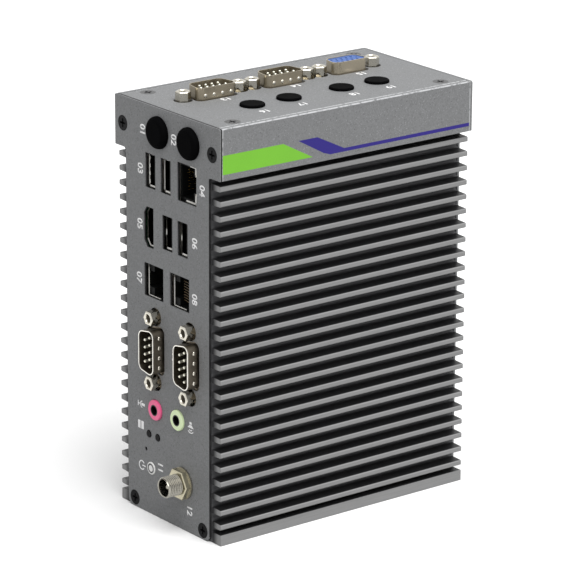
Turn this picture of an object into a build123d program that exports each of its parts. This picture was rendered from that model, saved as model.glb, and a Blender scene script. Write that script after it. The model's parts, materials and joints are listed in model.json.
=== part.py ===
from build123d import *

import math
import os

os.makedirs("parts", exist_ok=True)

# Overall sizes, in millimetres. X runs across the width, Y from the port side
# to the rail side and Z upwards. The origin is the middle of the underside.
cap_width = 64.0
depth = 116.0
height = 157.0
cap_height = 19.0
plate_thickness = 1.0
lower_plate_width = 50.8
free_play = 0.05

# Finned body extrusion
core_width = 50.0
fin_span = 62.0
body_wall = 2.4
floor_slab = 4.0
body_roof = 3.0
fin_pitch = 5.55
first_fin_height = 7.05
fin_tip_thickness = 1.9
fin_root_thickness = 2.4
fin_tip_round = 0.45
fin_root_flare = 0.7
screw_port_radius = 3.1
roof_slot_width = 7.4
roof_slot_length = 30.0
port_notch_depth = 18.6
port_notch_play = 0.4

# Plate outline
plate_corner_round = 2.6
plate_top_round = 0.8
plate_neck_round = 1.4

# Header frame
frame_wall = 1.8
frame_floor = 2.0
ledge_width = 7.7
ledge_thickness = 3.2
top_plate_gap = 0.25
top_edge_bevel = 0.35

# Countersunk screws of the plates
screw_head_radius = 2.9
screw_shank_radius = 1.45
screw_length = 7.0
top_screw_length = 5.0
recess_span = 3.2
recess_arm = 0.75
recess_depth = 0.8
upper_screw_inset = 4.8
upper_screw_drop = 10.2
lower_screw_x = 21.3
lower_screw_z = 3.4
top_screw_inset = 6.4
top_screw_end_inset = 10.2
frame_screw_x = 8.0
frame_screw_y = 28.0

# Pan-head screws inside
pan_head_radius = 2.7
pan_head_height = 1.6
pan_screw_length = 5.0

# Port positions on the port plate: X across, Z up. The rows on the two upright
# boards are measured down from the top, the sockets below them up from the floor.
antenna_row_drop = 9.0
upper_row_drop = 24.6
video_row_drop = 45.7
network_row_drop = 66.1
serial_row_drop = 91.7
antenna_row_z = height - antenna_row_drop
upper_row_z = height - upper_row_drop
video_row_z = height - video_row_drop
network_row_z = height - network_row_drop
serial_row_z = height - serial_row_drop
usb_spots = [(-10.2, upper_row_z), (-0.8, upper_row_z), (0.1, video_row_z), (9.4, video_row_z)]
network_upper = (12.15, upper_row_z + 0.2)
network_left = (-8.45, network_row_z)
network_right = (7.4, network_row_z)
video_spot = (-11.4, video_row_z - 0.3)
serial_front_spots = [(-7.5, serial_row_z), (13.9, serial_row_z)]
microphone_spot = (-7.6, 41.8)
speaker_spot = (6.2, 41.8)
light_spots = [(-12.0, 31.3), (-6.5, 31.3)]
clear_spot = (-14.0, 24.8)
power_spot = (-10.6, 18.1)
inlet_spot = (9.2, 18.3)
antenna_front_spots = [(-4.9, antenna_row_z), (13.9, antenna_row_z)]

# Port positions on the top plate: X across, Y back
port_row_x = -8.6
serial_top_spots = [(port_row_x, -31.9), (port_row_x, -0.8)]
monitor_spot = (port_row_x, 30.3)
antenna_row_x = 12.0
antenna_top_spots = [(antenna_row_x, -28.7), (antenna_row_x, -12.1), (antenna_row_x, 12.1), (antenna_row_x, 28.7)]

# Double USB sockets
usb_mouth_width = 5.12
usb_mouth_height = 12.5
usb_wall = 0.3
usb_depth = 17.5
usb_pocket_depth = 12.5
usb_tongue_thickness = 1.9
usb_tongue_height = 11.1
usb_tongue_length = 11.4
usb_tongue_offset = -0.7
usb_cutout_margin = 0.55
cutout_round = 0.3
port_recess = 0.6

# Network jacks
jack_height = 15.9
jack_width = 13.2
jack_depth = 16.5
jack_shield_wall = 0.35
shield_lip_width = 0.7
shield_lip_thickness = 0.2
upper_lip_offset = 3.6
lower_lip_offset = 5.35
plug_height = 11.9
plug_width = 7.0
plug_depth = 13.0
latch_height = 6.2
latch_width = 3.1
contact_count = 8
contact_pitch = 1.02
contact_width = 0.45
contact_rise = 2.2
contact_start_inset = 2.6
contact_end_inset = 2.4
network_cutout_width = 11.9
network_cutout_height = 12.7
network_upper_cutout_width = 11.5
network_upper_cutout_height = 14.4

# Digital video port
video_width = 5.2
video_height = 14.6
video_chamfer = 1.7
video_wall = 0.35
video_depth = 12.0
video_margin = 0.4
video_tongue_thickness = 1.5
video_tongue_height = 11.6

# Nine-way serial plugs and the fifteen-way monitor socket
d_flange_width = 12.5
d_flange_length = 30.8
d_flange_thickness = 0.8
d_flange_gap = 0.4
d_rim_height = 5.9
d_outer_length = 17.75
d_outer_breadth = 9.15
d_shell_wall = 0.4
d_corner_round = 2.6
d_slant = 10.0
d_body_breadth = 9.8
d_body_length = 19.0
d_cutout_margin = 0.9
jack_screw_spacing = 24.99
jack_screw_hole_radius = 3.5
jack_screw_flats = 5.0
jack_screw_height = 5.0
jack_thread_radius = 1.42
jack_thread_depth = 4.2
pin_pitch = 2.77
pin_row_spacing = 2.84
pin_radius = 0.5
pin_length = 5.2
serial_face_height = 0.3
monitor_face_inset = 0.35
monitor_outer_length = 16.4
monitor_outer_breadth = 8.0
monitor_hole_pitch = 2.29
monitor_row_spacing = 1.98
monitor_hole_radius = 0.5
monitor_hole_depth = 3.0

# Sound jacks
sound_nose_radius = 3.9
sound_bore_radius = 1.8
sound_bore_depth = 13.0
sound_nose_stand = 0.9
sound_body_size = 11.4
sound_body_depth = 12.5

# Lights and buttons
light_radius = 1.45
light_length = 7.0
light_stand = 0.25
light_grip = 3.0
indicator_width = 11.5
indicator_height = 4.5
indicator_depth = 6.0
power_cap_radius = 2.45
power_cap_stand = 0.35
power_cap_flange = 3.3
power_flange_thickness = 0.8
power_stem_radius = 1.5
power_stem_end = 10.1
power_travel = 0.6
power_switch_size = 7.0
clear_hole_radius = 0.8
clear_stem_radius = 0.7
clear_tip_inset = 0.8
clear_collar_radius = 1.2
clear_collar_thickness = 0.6
clear_stem_end = 7.5
clear_travel = 0.3
clear_switch_size = 4.0
switch_depth = 5.0
switch_end_play = 0.2
switch_engagement = 1.1

# Power inlet
inlet_barrel_radius = 3.95
inlet_bore_radius = 3.2
inlet_stand = 9.0
inlet_nut_flats = 10.5
inlet_nut_thickness = 2.4
inlet_washer_radius = 6.1
inlet_washer_thickness = 0.7
inlet_pin_radius = 1.0
inlet_pin_inset = 1.6
inlet_pin_seat = 1.5
inlet_body_size = 11.6
inlet_body_depth = 13.0

# Antenna plugs
front_plug_radius = 6.0
front_plug_height = 2.4
top_plug_radius = 4.65
top_plug_height = 1.0
antenna_hole_radius = 3.25
antenna_stem_length = 3.6

# Circuit boards
board_thickness = 1.6
main_board_x = -16.0
io_board_x = 18.8
board_bottom = 8.0
board_roof_gap = 0.5
main_board_front = 54.6
main_board_back = 54.0
io_board_back = 12.0
header_board_lift = 5.0
header_board_width = 43.0
header_board_length = 102.0
tab_length = 24.0
tab_drop = 1.4
board_corner_round = 1.5
standoff_radius = 2.4
board_screw_length = 3.6
board_screw_inset = 6.0
main_screw_y = [-34.0, 48.0]
io_screw_y = [-34.0, 6.0]
header_screw_x = 18.5
header_screw_y = [-34.0, 46.0]
header_socket_width = 6.0
header_socket_length = 28.0
header_socket_height = 3.8

# Parts on the boards
processor_size = 26.0
processor_thickness = 1.4
processor_y = 14.0
processor_z = 70.0
pad_thickness = 0.4
block_size = 40.0
memory_length = 67.6
memory_height = 30.0
memory_thickness = 1.0
memory_y = 18.0
memory_z = 70.0
memory_lift = 3.4
memory_socket_lift = 5.2
memory_socket_depth = 6.0
memory_arm_length = 26.0
memory_grip = 2.0
memory_arm_width = 1.2
memory_chip_size = 9.0
memory_chip_pitch = 16.0
chip_thickness = 0.9
card_width = 22.0
card_length = 42.0
card_lift = 2.4
card_thickness = 0.8
card_y = -4.0
card_gap = 3.0
card_socket_depth = 8.0
card_socket_lift = 4.4
card_grip = 2.0
card_screw_y = 35.0
card_chip_size = 12.0
cell_radius = 10.0
cell_thickness = 3.2
cell_holder_wall = 1.2
cell_holder_floor = 1.0
cell_holder_lift = 3.6
cell_spot = (-22.0, 42.0)
main_chip_drops = [(-14.0, 26.5), (32.0, 15.5)]
io_chip_drops = [(-20.0, 34.5), (-22.0, 84.5)]
board_chip_size = 11.0
riser_z = 77.0
riser_front = 34.0
riser_length = 32.0
riser_socket_height = 6.6
riser_socket_reach = 5.6
riser_grip = 3.0

# Rail clip on the back, for a 35 mm top-hat rail
rail_width = 35.0
rail_thickness = 1.0
rail_center_z = 70.0
bracket_width = 28.0
bracket_thickness = 4.0
bracket_reach = 8.0
bracket_bottom = 34.0
bracket_top = 98.0
hook_overlap = 2.0
hook_root = 4.2
hook_lip = 2.7
rail_play = 0.3
channel_width = 16.4
channel_depth = 3.0
channel_bottom = 40.2
channel_top = 74.6
latch_play = 0.2
latch_travel = 3.2
latch_bottom = 44.0
latch_top = 71.0
tab_width = 6.0
tab_bottom = 30.5
tab_slot_width = 3.4
tab_slot_height = 1.4
tab_slot_z = 32.4
nose_width = 12.0
nose_root = 2.6
window_play = 0.2
spring_window_bottom = 56.0
spring_window_top = 68.0
spring_window_width = 8.4
peg_thickness = 1.65
peg_width = 7.2
spring_inset = 0.6
spring_width = 1.8
spring_strip = 0.5
slide_gap = 0.15
nose_lead = 1.2
spring_turns = 5
bracket_screw_x = 10.8
bracket_screw_low = 38.2
bracket_screw_high = 80.0
collar_radius = 2.8
collar_length = 2.0

# Sizes that follow from those above
body_height = height - cap_height
fin_count = int((body_height - first_fin_height) / fin_pitch) + 1
inner_length = depth - 2 * plate_thickness
upper_screw_x = cap_width / 2 - upper_screw_inset
upper_screw_z = height - upper_screw_drop
top_screw_x = cap_width / 2 - top_screw_inset
top_screw_y = depth / 2 - top_screw_end_inset
board_top = body_height - body_roof - board_roof_gap
board_screw_z = [board_bottom + board_screw_inset, board_top - board_screw_inset]
main_chip_spots = [(y, board_top - drop) for y, drop in main_chip_drops]
io_chip_spots = [(y, board_top - drop) for y, drop in io_chip_drops]
header_board_z = body_height + frame_floor + header_board_lift
header_socket_low = header_board_z - header_socket_height
tab_top = header_board_z - tab_drop
card_z = memory_z - memory_length / 2 - memory_arm_width - card_gap - card_width / 2
body_inner_width = core_width - 2 * body_wall
flange_seat = plate_thickness + d_flange_gap
port_seat = plate_thickness + port_recess
d_body_depth = height - flange_seat - header_board_z - board_thickness
rail_low = rail_center_z - rail_width / 2
rail_high = rail_center_z + rail_width / 2

# Working planes. A local X and Y on the front plane are the part's X and Z.
front_plane = Plane.XZ.offset(depth / 2)
front_inner_plane = Plane.XZ.offset(depth / 2 - plate_thickness)
front_flange_plane = Plane.XZ.offset(depth / 2 - flange_seat)
front_port_plane = Plane.XZ.offset(depth / 2 - port_seat)
rear_plane = Plane(origin=(0, depth / 2, 0), x_dir=(-1, 0, 0), z_dir=(0, 1, 0))
top_plane = Plane.XY.offset(height)
top_flange_plane = Plane.XY.offset(height - flange_seat)


def plate_outline():
    """T-shaped outline that the port plate and the rear plate share."""
    with BuildSketch() as outline:
        with Locations((0, height - cap_height / 2)):
            Rectangle(cap_width, cap_height)
        with Locations((0, body_height / 2)):
            Rectangle(lower_plate_width, body_height)
        rows = outline.vertices().group_by(Axis.Y)
        neck = rows[1].filter_by_position(Axis.X, -cap_width * 0.45, cap_width * 0.45)
        fillet(neck, plate_neck_round)
        rows = outline.vertices().group_by(Axis.Y)
        fillet(rows[0], plate_corner_round)
        rows = outline.vertices().group_by(Axis.Y)
        fillet(rows[-1], plate_top_round)
    return outline.sketch


def d_outline(length, breadth, corner):
    """D-shaped outline with its long side at plus X."""
    short = length / 2 - breadth * math.tan(math.radians(d_slant))
    with BuildSketch() as outline:
        with BuildLine():
            Polyline(
                (breadth / 2, -length / 2),
                (breadth / 2, length / 2),
                (-breadth / 2, short),
                (-breadth / 2, -short),
                close=True,
            )
        make_face()
        fillet(outline.vertices(), corner)
    return outline.sketch


def d_cutout(length, breadth):
    """Opening for a D-shaped port with its two hexagon screws."""
    with BuildSketch() as outline:
        add(d_outline(length + 2 * d_cutout_margin, breadth + 2 * d_cutout_margin, d_corner_round))
        with Locations((0, jack_screw_spacing / 2), (0, -jack_screw_spacing / 2)):
            Circle(jack_screw_hole_radius)
    return outline.sketch


def video_outline(margin):
    """Outline of the digital video port, narrowed at minus X, grown by a margin."""
    half_width = video_width / 2 + margin
    half_height = video_height / 2 + margin
    with BuildSketch() as outline:
        with BuildLine():
            Polyline(
                (half_width, -half_height),
                (half_width, half_height),
                (video_chamfer - half_width, half_height),
                (-half_width, half_height - 1.4 * video_chamfer),
                (-half_width, 1.4 * video_chamfer - half_height),
                (video_chamfer - half_width, -half_height),
                close=True,
            )
        make_face()
    return outline.sketch


def countersunk_screw(length):
    """Flat-head cross-recess screw, its head's face at height zero."""
    under_head = screw_head_radius - plate_thickness
    with BuildPart() as screw:
        with BuildSketch(Plane.XZ):
            with BuildLine():
                Polyline(
                    (0, 0),
                    (screw_head_radius, 0),
                    (under_head, -plate_thickness),
                    (screw_shank_radius, -plate_thickness),
                    (screw_shank_radius, -length),
                    (0, -length),
                    close=True,
                )
            make_face()
        revolve(axis=Axis.Z)
        with BuildSketch(Plane.XY):
            Rectangle(recess_span, recess_arm)
            Rectangle(recess_arm, recess_span)
        extrude(amount=-recess_depth, taper=12, mode=Mode.SUBTRACT)
    return screw.part


def pan_screw(length):
    """Pan-head screw, the underside of its head at height zero."""
    with BuildPart() as screw:
        with BuildSketch(Plane.XY):
            Circle(pan_head_radius)
        extrude(amount=pan_head_height)
        fillet(screw.edges().group_by(Axis.Z)[-1], pan_head_height * 0.4)
        with BuildSketch(Plane.XY):
            Circle(screw_shank_radius)
        extrude(amount=-length)
    return screw.part


# Chassis: one aluminium extrusion with fins on both sides, a floor slab, a roof
# and a round screw port in each lower corner
with BuildSketch() as fin_profile:
    with BuildLine():
        Polyline(
            (core_width / 2, -fin_root_thickness / 2),
            (fin_span / 2, -fin_tip_thickness / 2),
            (fin_span / 2, fin_tip_thickness / 2),
            (core_width / 2, fin_root_thickness / 2),
            close=True,
        )
    make_face()
    fillet(fin_profile.vertices().group_by(Axis.X)[-1], fin_tip_round)
    with Locations((core_width / 2 - body_wall / 4, 0)):
        Rectangle(body_wall / 2, fin_pitch)
    root_corners = fin_profile.vertices().filter_by_position(
        Axis.Y, -fin_root_thickness * 0.6, fin_root_thickness * 0.6
    )
    fillet(root_corners.group_by(Axis.X)[0], fin_root_flare)

fin_heights = [first_fin_height + i * fin_pitch for i in range(fin_count)]
port_plate_screws = [
    (-upper_screw_x, upper_screw_z),
    (upper_screw_x, upper_screw_z),
    (-lower_screw_x, lower_screw_z),
    (lower_screw_x, lower_screw_z),
]
body_ports = [(-lower_screw_x, lower_screw_z), (lower_screw_x, lower_screw_z)]
frame_screw_spots = [(x, y) for x in (-frame_screw_x, frame_screw_x) for y in (-frame_screw_y, frame_screw_y)]
port_notch_width = io_board_x - main_board_x + 2 * port_notch_play
port_notch_spot = ((io_board_x + main_board_x) / 2, (port_notch_depth - inner_length) / 2)

with BuildPart() as chassis:
    with BuildSketch(front_inner_plane) as chassis_section:
        with Locations((0, body_height / 2)):
            Rectangle(core_width, body_height)
        with Locations((0, floor_slab / 2)):
            Rectangle(fin_span, floor_slab)
        with Locations(*[(0, z) for z in fin_heights]):
            add(fin_profile.sketch)
        mirror(about=Plane.YZ)
        with Locations((0, (floor_slab + body_height - body_roof) / 2)):
            Rectangle(body_inner_width, body_height - body_roof - floor_slab, mode=Mode.SUBTRACT)
        with Locations(*body_ports):
            Circle(screw_port_radius)
            Circle(screw_shank_radius + free_play, mode=Mode.SUBTRACT)
    extrude(amount=-inner_length)
    with BuildSketch(Plane.XY.offset(body_height)):
        with Locations((main_board_x - board_thickness / 2, 0)):
            Rectangle(roof_slot_width, roof_slot_length)
        with Locations(port_notch_spot):
            Rectangle(port_notch_width, port_notch_depth)
        with Locations(*frame_screw_spots):
            Circle(screw_shank_radius + free_play)
    extrude(amount=-body_roof, mode=Mode.SUBTRACT)
chassis.part.label = "chassis"
export_step(chassis.part, "parts/chassis.step")

# Port plate: a T-shaped sheet with every port opening and four screw holes
with BuildPart() as port_plate:
    with BuildSketch(front_plane) as port_plate_face:
        add(plate_outline())
        with Locations(*usb_spots):
            RectangleRounded(
                usb_mouth_width + 2 * usb_cutout_margin,
                usb_mouth_height + usb_cutout_margin,
                cutout_round,
                mode=Mode.SUBTRACT,
            )
        with Locations(network_upper):
            RectangleRounded(
                network_upper_cutout_width,
                network_upper_cutout_height,
                cutout_round,
                mode=Mode.SUBTRACT,
            )
        with Locations(network_left, network_right):
            RectangleRounded(
                network_cutout_width, network_cutout_height, cutout_round, mode=Mode.SUBTRACT
            )
        with Locations(video_spot):
            add(video_outline(video_margin), mode=Mode.SUBTRACT)
        with Locations(*serial_front_spots):
            add(d_cutout(d_outer_length, d_outer_breadth), mode=Mode.SUBTRACT)
        with Locations(microphone_spot, speaker_spot):
            Circle(sound_nose_radius + 2 * free_play, mode=Mode.SUBTRACT)
        with Locations(*light_spots):
            Circle(light_radius + free_play, mode=Mode.SUBTRACT)
        with Locations(clear_spot):
            Circle(clear_hole_radius, mode=Mode.SUBTRACT)
        with Locations(power_spot):
            Circle(power_cap_radius + 2 * free_play, mode=Mode.SUBTRACT)
        with Locations(inlet_spot):
            Circle(inlet_barrel_radius + 2 * free_play, mode=Mode.SUBTRACT)
        with Locations(*antenna_front_spots):
            Circle(antenna_hole_radius, mode=Mode.SUBTRACT)
    extrude(amount=-plate_thickness)
    with Locations(front_plane):
        with Locations(*port_plate_screws):
            CounterSinkHole(
                screw_head_radius - plate_thickness + free_play,
                screw_head_radius + free_play,
                plate_thickness * 1.5,
                90,
            )
port_plate.part.label = "port_plate"
export_step(port_plate.part, "parts/port_plate.step")

# Rear plate: the same T without ports, with four threaded collars for the rail clip
bracket_spots = [(x, z) for x in (-bracket_screw_x, bracket_screw_x) for z in (bracket_screw_low, bracket_screw_high)]
with BuildPart() as rear_plate:
    with BuildSketch(rear_plane):
        add(plate_outline())
        with Locations(*bracket_spots):
            Circle(screw_shank_radius + free_play, mode=Mode.SUBTRACT)
    extrude(amount=-plate_thickness)
    with BuildSketch(rear_plane.offset(-plate_thickness)):
        with Locations(*bracket_spots):
            Circle(collar_radius)
            Circle(screw_shank_radius + free_play, mode=Mode.SUBTRACT)
    extrude(amount=-collar_length)
    with Locations(rear_plane):
        with Locations(*port_plate_screws):
            CounterSinkHole(
                screw_head_radius - plate_thickness + free_play,
                screw_head_radius + free_play,
                plate_thickness * 1.5,
                90,
            )
rear_plate.part.label = "rear_plate"
export_step(rear_plate.part, "parts/rear_plate.step")

# Header frame: an extruded trough with a ledge along each wall for the top plate
# and a round screw port inside each wall
frame_inner_width = cap_width - 2 * frame_wall
ledge_top = height - plate_thickness
with BuildPart() as header_frame:
    with BuildSketch(front_inner_plane):
        with Locations((0, height - cap_height / 2)):
            Rectangle(cap_width, cap_height)
        with Locations((0, body_height + frame_floor + cap_height / 2)):
            Rectangle(frame_inner_width, cap_height, mode=Mode.SUBTRACT)
        with Locations(
            (ledge_width / 2 - frame_inner_width / 2, ledge_top - ledge_thickness / 2),
            (frame_inner_width / 2 - ledge_width / 2, ledge_top - ledge_thickness / 2),
        ):
            Rectangle(ledge_width, ledge_thickness)
        with Locations((-upper_screw_x, upper_screw_z), (upper_screw_x, upper_screw_z)):
            Circle(screw_port_radius)
        with Locations(
            (-frame_inner_width / 2 + 0.5, upper_screw_z), (frame_inner_width / 2 - 0.5, upper_screw_z)
        ):
            Rectangle(2.0, screw_port_radius)
        with Locations((-upper_screw_x, upper_screw_z), (upper_screw_x, upper_screw_z)):
            Circle(screw_shank_radius + free_play, mode=Mode.SUBTRACT)
    extrude(amount=-inner_length)
    frame_rims = header_frame.edges().filter_by(Axis.Y).group_by(Axis.Z)[-1].sort_by(Axis.X)
    chamfer([frame_rims[0], frame_rims[-1]], top_edge_bevel)
    with BuildSketch(Plane.XY.offset(body_height)):
        with Locations((main_board_x - board_thickness / 2, 0)):
            Rectangle(roof_slot_width, roof_slot_length)
        with Locations(port_notch_spot):
            Rectangle(port_notch_width, port_notch_depth)
        with Locations(*frame_screw_spots):
            Circle(screw_shank_radius + free_play)
    extrude(amount=frame_floor, mode=Mode.SUBTRACT)
    with BuildSketch(Plane.XY.offset(ledge_top)):
        with GridLocations(2 * top_screw_x, 2 * top_screw_y, 2, 2):
            Circle(screw_shank_radius + free_play)
    extrude(amount=-ledge_thickness, mode=Mode.SUBTRACT)
header_frame.part.label = "header_frame"
export_step(header_frame.part, "parts/header_frame.step")

# Top plate: sits on the ledges, flush with the frame's walls
with BuildPart() as top_plate:
    with BuildSketch(top_plane):
        Rectangle(frame_inner_width - 2 * top_plate_gap, inner_length - 2 * top_plate_gap)
        with Locations(*serial_top_spots):
            add(d_cutout(d_outer_length, d_outer_breadth), mode=Mode.SUBTRACT)
        with Locations(monitor_spot):
            add(d_cutout(monitor_outer_length, monitor_outer_breadth), mode=Mode.SUBTRACT)
        with Locations(*antenna_top_spots):
            Circle(antenna_hole_radius, mode=Mode.SUBTRACT)
    extrude(amount=-plate_thickness)
    plate_rims = top_plate.edges().filter_by(Axis.Y).group_by(Axis.Z)[-1].sort_by(Axis.X)
    chamfer([plate_rims[0], plate_rims[-1]], top_edge_bevel)
    with Locations(top_plane):
        with GridLocations(2 * top_screw_x, 2 * top_screw_y, 2, 2):
            CounterSinkHole(
                screw_head_radius - plate_thickness + free_play,
                screw_head_radius + free_play,
                plate_thickness * 1.5,
                90,
            )
top_plate.part.label = "top_plate"
export_step(top_plate.part, "parts/top_plate.step")

# Screws that hold the two T plates, the top plate and the header frame
flat_screw = countersunk_screw(screw_length)
short_flat_screw = countersunk_screw(top_screw_length)
inner_screw = pan_screw(pan_screw_length)

with BuildPart() as front_screws:
    with Locations(front_plane):
        with Locations(*port_plate_screws):
            add(flat_screw)
front_screws.part.label = "front_screws"
export_step(front_screws.part, "parts/front_screws.step")

with BuildPart() as rear_screws:
    with Locations(rear_plane):
        with Locations(*port_plate_screws):
            add(flat_screw)
rear_screws.part.label = "rear_screws"
export_step(rear_screws.part, "parts/rear_screws.step")

with BuildPart() as top_screws:
    with Locations(top_plane):
        with GridLocations(2 * top_screw_x, 2 * top_screw_y, 2, 2):
            add(short_flat_screw)
top_screws.part.label = "top_screws"
export_step(top_screws.part, "parts/top_screws.step")

# Round plugs in the unused antenna holes: domed ones in front, flat ones on top
with BuildPart() as antenna_plugs_front:
    with BuildSketch(front_plane):
        with Locations(*antenna_front_spots):
            Circle(front_plug_radius)
    extrude(amount=front_plug_height)
    outer_rims = antenna_plugs_front.edges().group_by(Axis.Y)[0]
    fillet(outer_rims, front_plug_height * 0.8)
    with BuildSketch(front_plane):
        with Locations(*antenna_front_spots):
            Circle(antenna_hole_radius - free_play)
    extrude(amount=-plate_thickness - antenna_stem_length)
antenna_plugs_front.part.label = "antenna_plugs_front"
export_step(antenna_plugs_front.part, "parts/antenna_plugs_front.step")

with BuildPart() as antenna_plugs_top:
    with BuildSketch(top_plane):
        with Locations(*antenna_top_spots):
            Circle(top_plug_radius)
    extrude(amount=top_plug_height)
    outer_rims = antenna_plugs_top.edges().group_by(Axis.Z)[-1]
    fillet(outer_rims, top_plug_height * 0.5)
    with BuildSketch(top_plane):
        with Locations(*antenna_top_spots):
            Circle(antenna_hole_radius - free_play)
    extrude(amount=-plate_thickness - antenna_stem_length)
antenna_plugs_top.part.label = "antenna_plugs_top"
export_step(antenna_plugs_top.part, "parts/antenna_plugs_top.step")

# Pan-head screws that hold the header frame down on the chassis roof
with BuildPart() as frame_screws:
    with Locations(Plane.XY.offset(body_height + frame_floor)):
        with Locations(*frame_screw_spots):
            add(inner_screw)
frame_screws.part.label = "frame_screws"
export_step(frame_screws.part, "parts/frame_screws.step")

# Double USB sockets: a metal shell with two mouths, and a plastic tongue in each
usb_outer_half = usb_mouth_width / 2 + usb_wall
usb_shell_height = usb_mouth_height + 2 * usb_wall
usb_stacks = [
    (main_board_x, usb_spots[1][0] + usb_outer_half, usb_spots[1][1]),
    (usb_spots[2][0] - usb_outer_half, io_board_x, usb_spots[2][1]),
]
with BuildPart() as usb_shells:
    with BuildSketch(front_port_plane):
        for low_x, high_x, stack_z in usb_stacks:
            with Locations(((low_x + high_x) / 2, stack_z)):
                Rectangle(high_x - low_x, usb_shell_height)
    extrude(amount=-usb_depth)
    with BuildSketch(front_port_plane):
        with Locations(*usb_spots):
            Rectangle(usb_mouth_width, usb_mouth_height)
    extrude(amount=-usb_pocket_depth, mode=Mode.SUBTRACT)
usb_shells.part.label = "usb_shells"
export_step(usb_shells.part, "parts/usb_shells.step")

with BuildPart() as usb_tongues:
    with BuildSketch(front_port_plane.offset(-usb_pocket_depth)):
        with Locations(*[(x + usb_tongue_offset, z) for x, z in usb_spots]):
            Rectangle(usb_tongue_thickness, usb_tongue_height)
    extrude(amount=usb_tongue_length)
    chamfer(usb_tongues.edges().filter_by(Axis.Z).group_by(Axis.Y)[0], 0.3)
usb_tongues.part.label = "usb_tongues"
export_step(usb_tongues.part, "parts/usb_tongues.step")

# Network jacks: folded shield, plastic body with a stepped plug cavity, and eight
# spring contacts. Each entry gives the near and far side, the height, the middle
# of the mouth, the side on which the latch lies and how far out the shield's lip is.
jack_half = jack_width / 2
network_jacks = [
    (network_upper[0] - jack_half, io_board_x, network_upper[1], network_upper[0], 1, upper_lip_offset),
    (main_board_x, network_left[0] + jack_half, network_left[1], network_left[0], -1, lower_lip_offset),
    (network_right[0] - jack_half, io_board_x, network_right[1], network_right[0], -1, lower_lip_offset),
]
plug_shift = latch_width / 2
latch_shift = plug_width / 2


def jack_mouths(margin):
    """Plug and latch mouths of the three network jacks, grown by a margin."""
    with BuildSketch() as mouths:
        for low_x, high_x, jack_z, mouth_x, latch_side, lip_offset in network_jacks:
            with Locations((mouth_x - latch_side * plug_shift, jack_z)):
                Rectangle(plug_width + 2 * margin, plug_height + 2 * margin)
            with Locations((mouth_x + latch_side * latch_shift, jack_z)):
                Rectangle(latch_width + 2 * margin, latch_height + 2 * margin)
    return mouths.sketch


with BuildPart() as network_shields:
    with BuildSketch(front_port_plane):
        for low_x, high_x, jack_z, mouth_x, latch_side, lip_offset in network_jacks:
            with Locations(((low_x + high_x) / 2, jack_z)):
                Rectangle(high_x - low_x, jack_height)
                Rectangle(
                    high_x - low_x - 2 * jack_shield_wall,
                    jack_height - 2 * jack_shield_wall,
                    mode=Mode.SUBTRACT,
                )
    extrude(amount=-jack_depth)
    with BuildSketch(front_port_plane):
        for low_x, high_x, jack_z, mouth_x, latch_side, lip_offset in network_jacks:
            lip_x = mouth_x + latch_side * lip_offset
            with Locations((lip_x, jack_z)):
                Rectangle(shield_lip_width, jack_height - jack_shield_wall)
        add(jack_mouths(free_play), mode=Mode.SUBTRACT)
    extrude(amount=-shield_lip_thickness)
network_shields.part.label = "network_shields"
export_step(network_shields.part, "parts/network_shields.step")

with BuildPart() as network_bodies:
    with BuildSketch(front_port_plane.offset(-shield_lip_thickness)):
        for low_x, high_x, jack_z, mouth_x, latch_side, lip_offset in network_jacks:
            with Locations(((low_x + high_x) / 2, jack_z)):
                Rectangle(high_x - low_x - 2 * jack_shield_wall, jack_height - 2 * jack_shield_wall)
    extrude(amount=-(jack_depth - shield_lip_thickness))
    with BuildSketch(front_port_plane):
        add(jack_mouths(0))
    extrude(amount=-plug_depth, mode=Mode.SUBTRACT)
network_bodies.part.label = "network_bodies"
export_step(network_bodies.part, "parts/network_bodies.step")

contact_start_y = -depth / 2 + port_seat + contact_start_inset
contact_end_y = -depth / 2 + port_seat + plug_depth - contact_end_inset
with BuildPart() as network_contacts:
    for low_x, high_x, jack_z, mouth_x, latch_side, lip_offset in network_jacks:
        wall_x = mouth_x - latch_side * (plug_shift + plug_width / 2)
        heights = [
            jack_z + (i - (contact_count - 1) / 2) * contact_pitch - contact_width / 2
            for i in range(contact_count)
        ]
        with BuildSketch(*[Plane.XY.offset(z) for z in heights]):
            with BuildLine():
                Polyline(
                    (wall_x, contact_start_y),
                    (wall_x + latch_side * contact_rise, contact_end_y),
                    (wall_x + latch_side * contact_rise, contact_end_y + contact_width),
                    (wall_x, contact_start_y + 2 * contact_width),
                    close=True,
                )
            make_face()
        extrude(amount=contact_width)
network_contacts.part.label = "network_contacts"
export_step(network_contacts.part, "parts/network_contacts.step")

# Digital video port: a shell narrowed on one side, with a flat tongue inside
video_foot_height = video_height * 0.7
with BuildPart() as video_port_shell:
    with BuildSketch(front_port_plane):
        with Locations(video_spot):
            add(video_outline(video_wall))
    extrude(amount=-video_depth)
    with BuildSketch(front_port_plane.offset(-video_depth / 4)):
        with Locations(((main_board_x + video_spot[0]) / 2, video_spot[1])):
            Rectangle(video_spot[0] - main_board_x, video_foot_height)
    extrude(amount=-video_depth / 2)
    with BuildSketch(front_port_plane):
        with Locations(video_spot):
            add(video_outline(0))
    extrude(amount=-(video_depth - 1.0), mode=Mode.SUBTRACT)
video_port_shell.part.label = "video_port_shell"
export_step(video_port_shell.part, "parts/video_port_shell.step")

with BuildPart() as video_port_tongue:
    with BuildSketch(front_port_plane.offset(-(video_depth - 1.0))):
        with Locations(video_spot):
            Rectangle(video_tongue_thickness, video_tongue_height)
    extrude(amount=video_depth - 2.0)
video_port_tongue.part.label = "video_port_tongue"
export_step(video_port_tongue.part, "parts/video_port_tongue.step")

# Nine-way serial plugs. Each piece is drawn once with the front of its flange at
# height zero, then set on the port plate and the top plate.
jack_screw_spots = [(0, jack_screw_spacing / 2), (0, -jack_screw_spacing / 2)]


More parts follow.
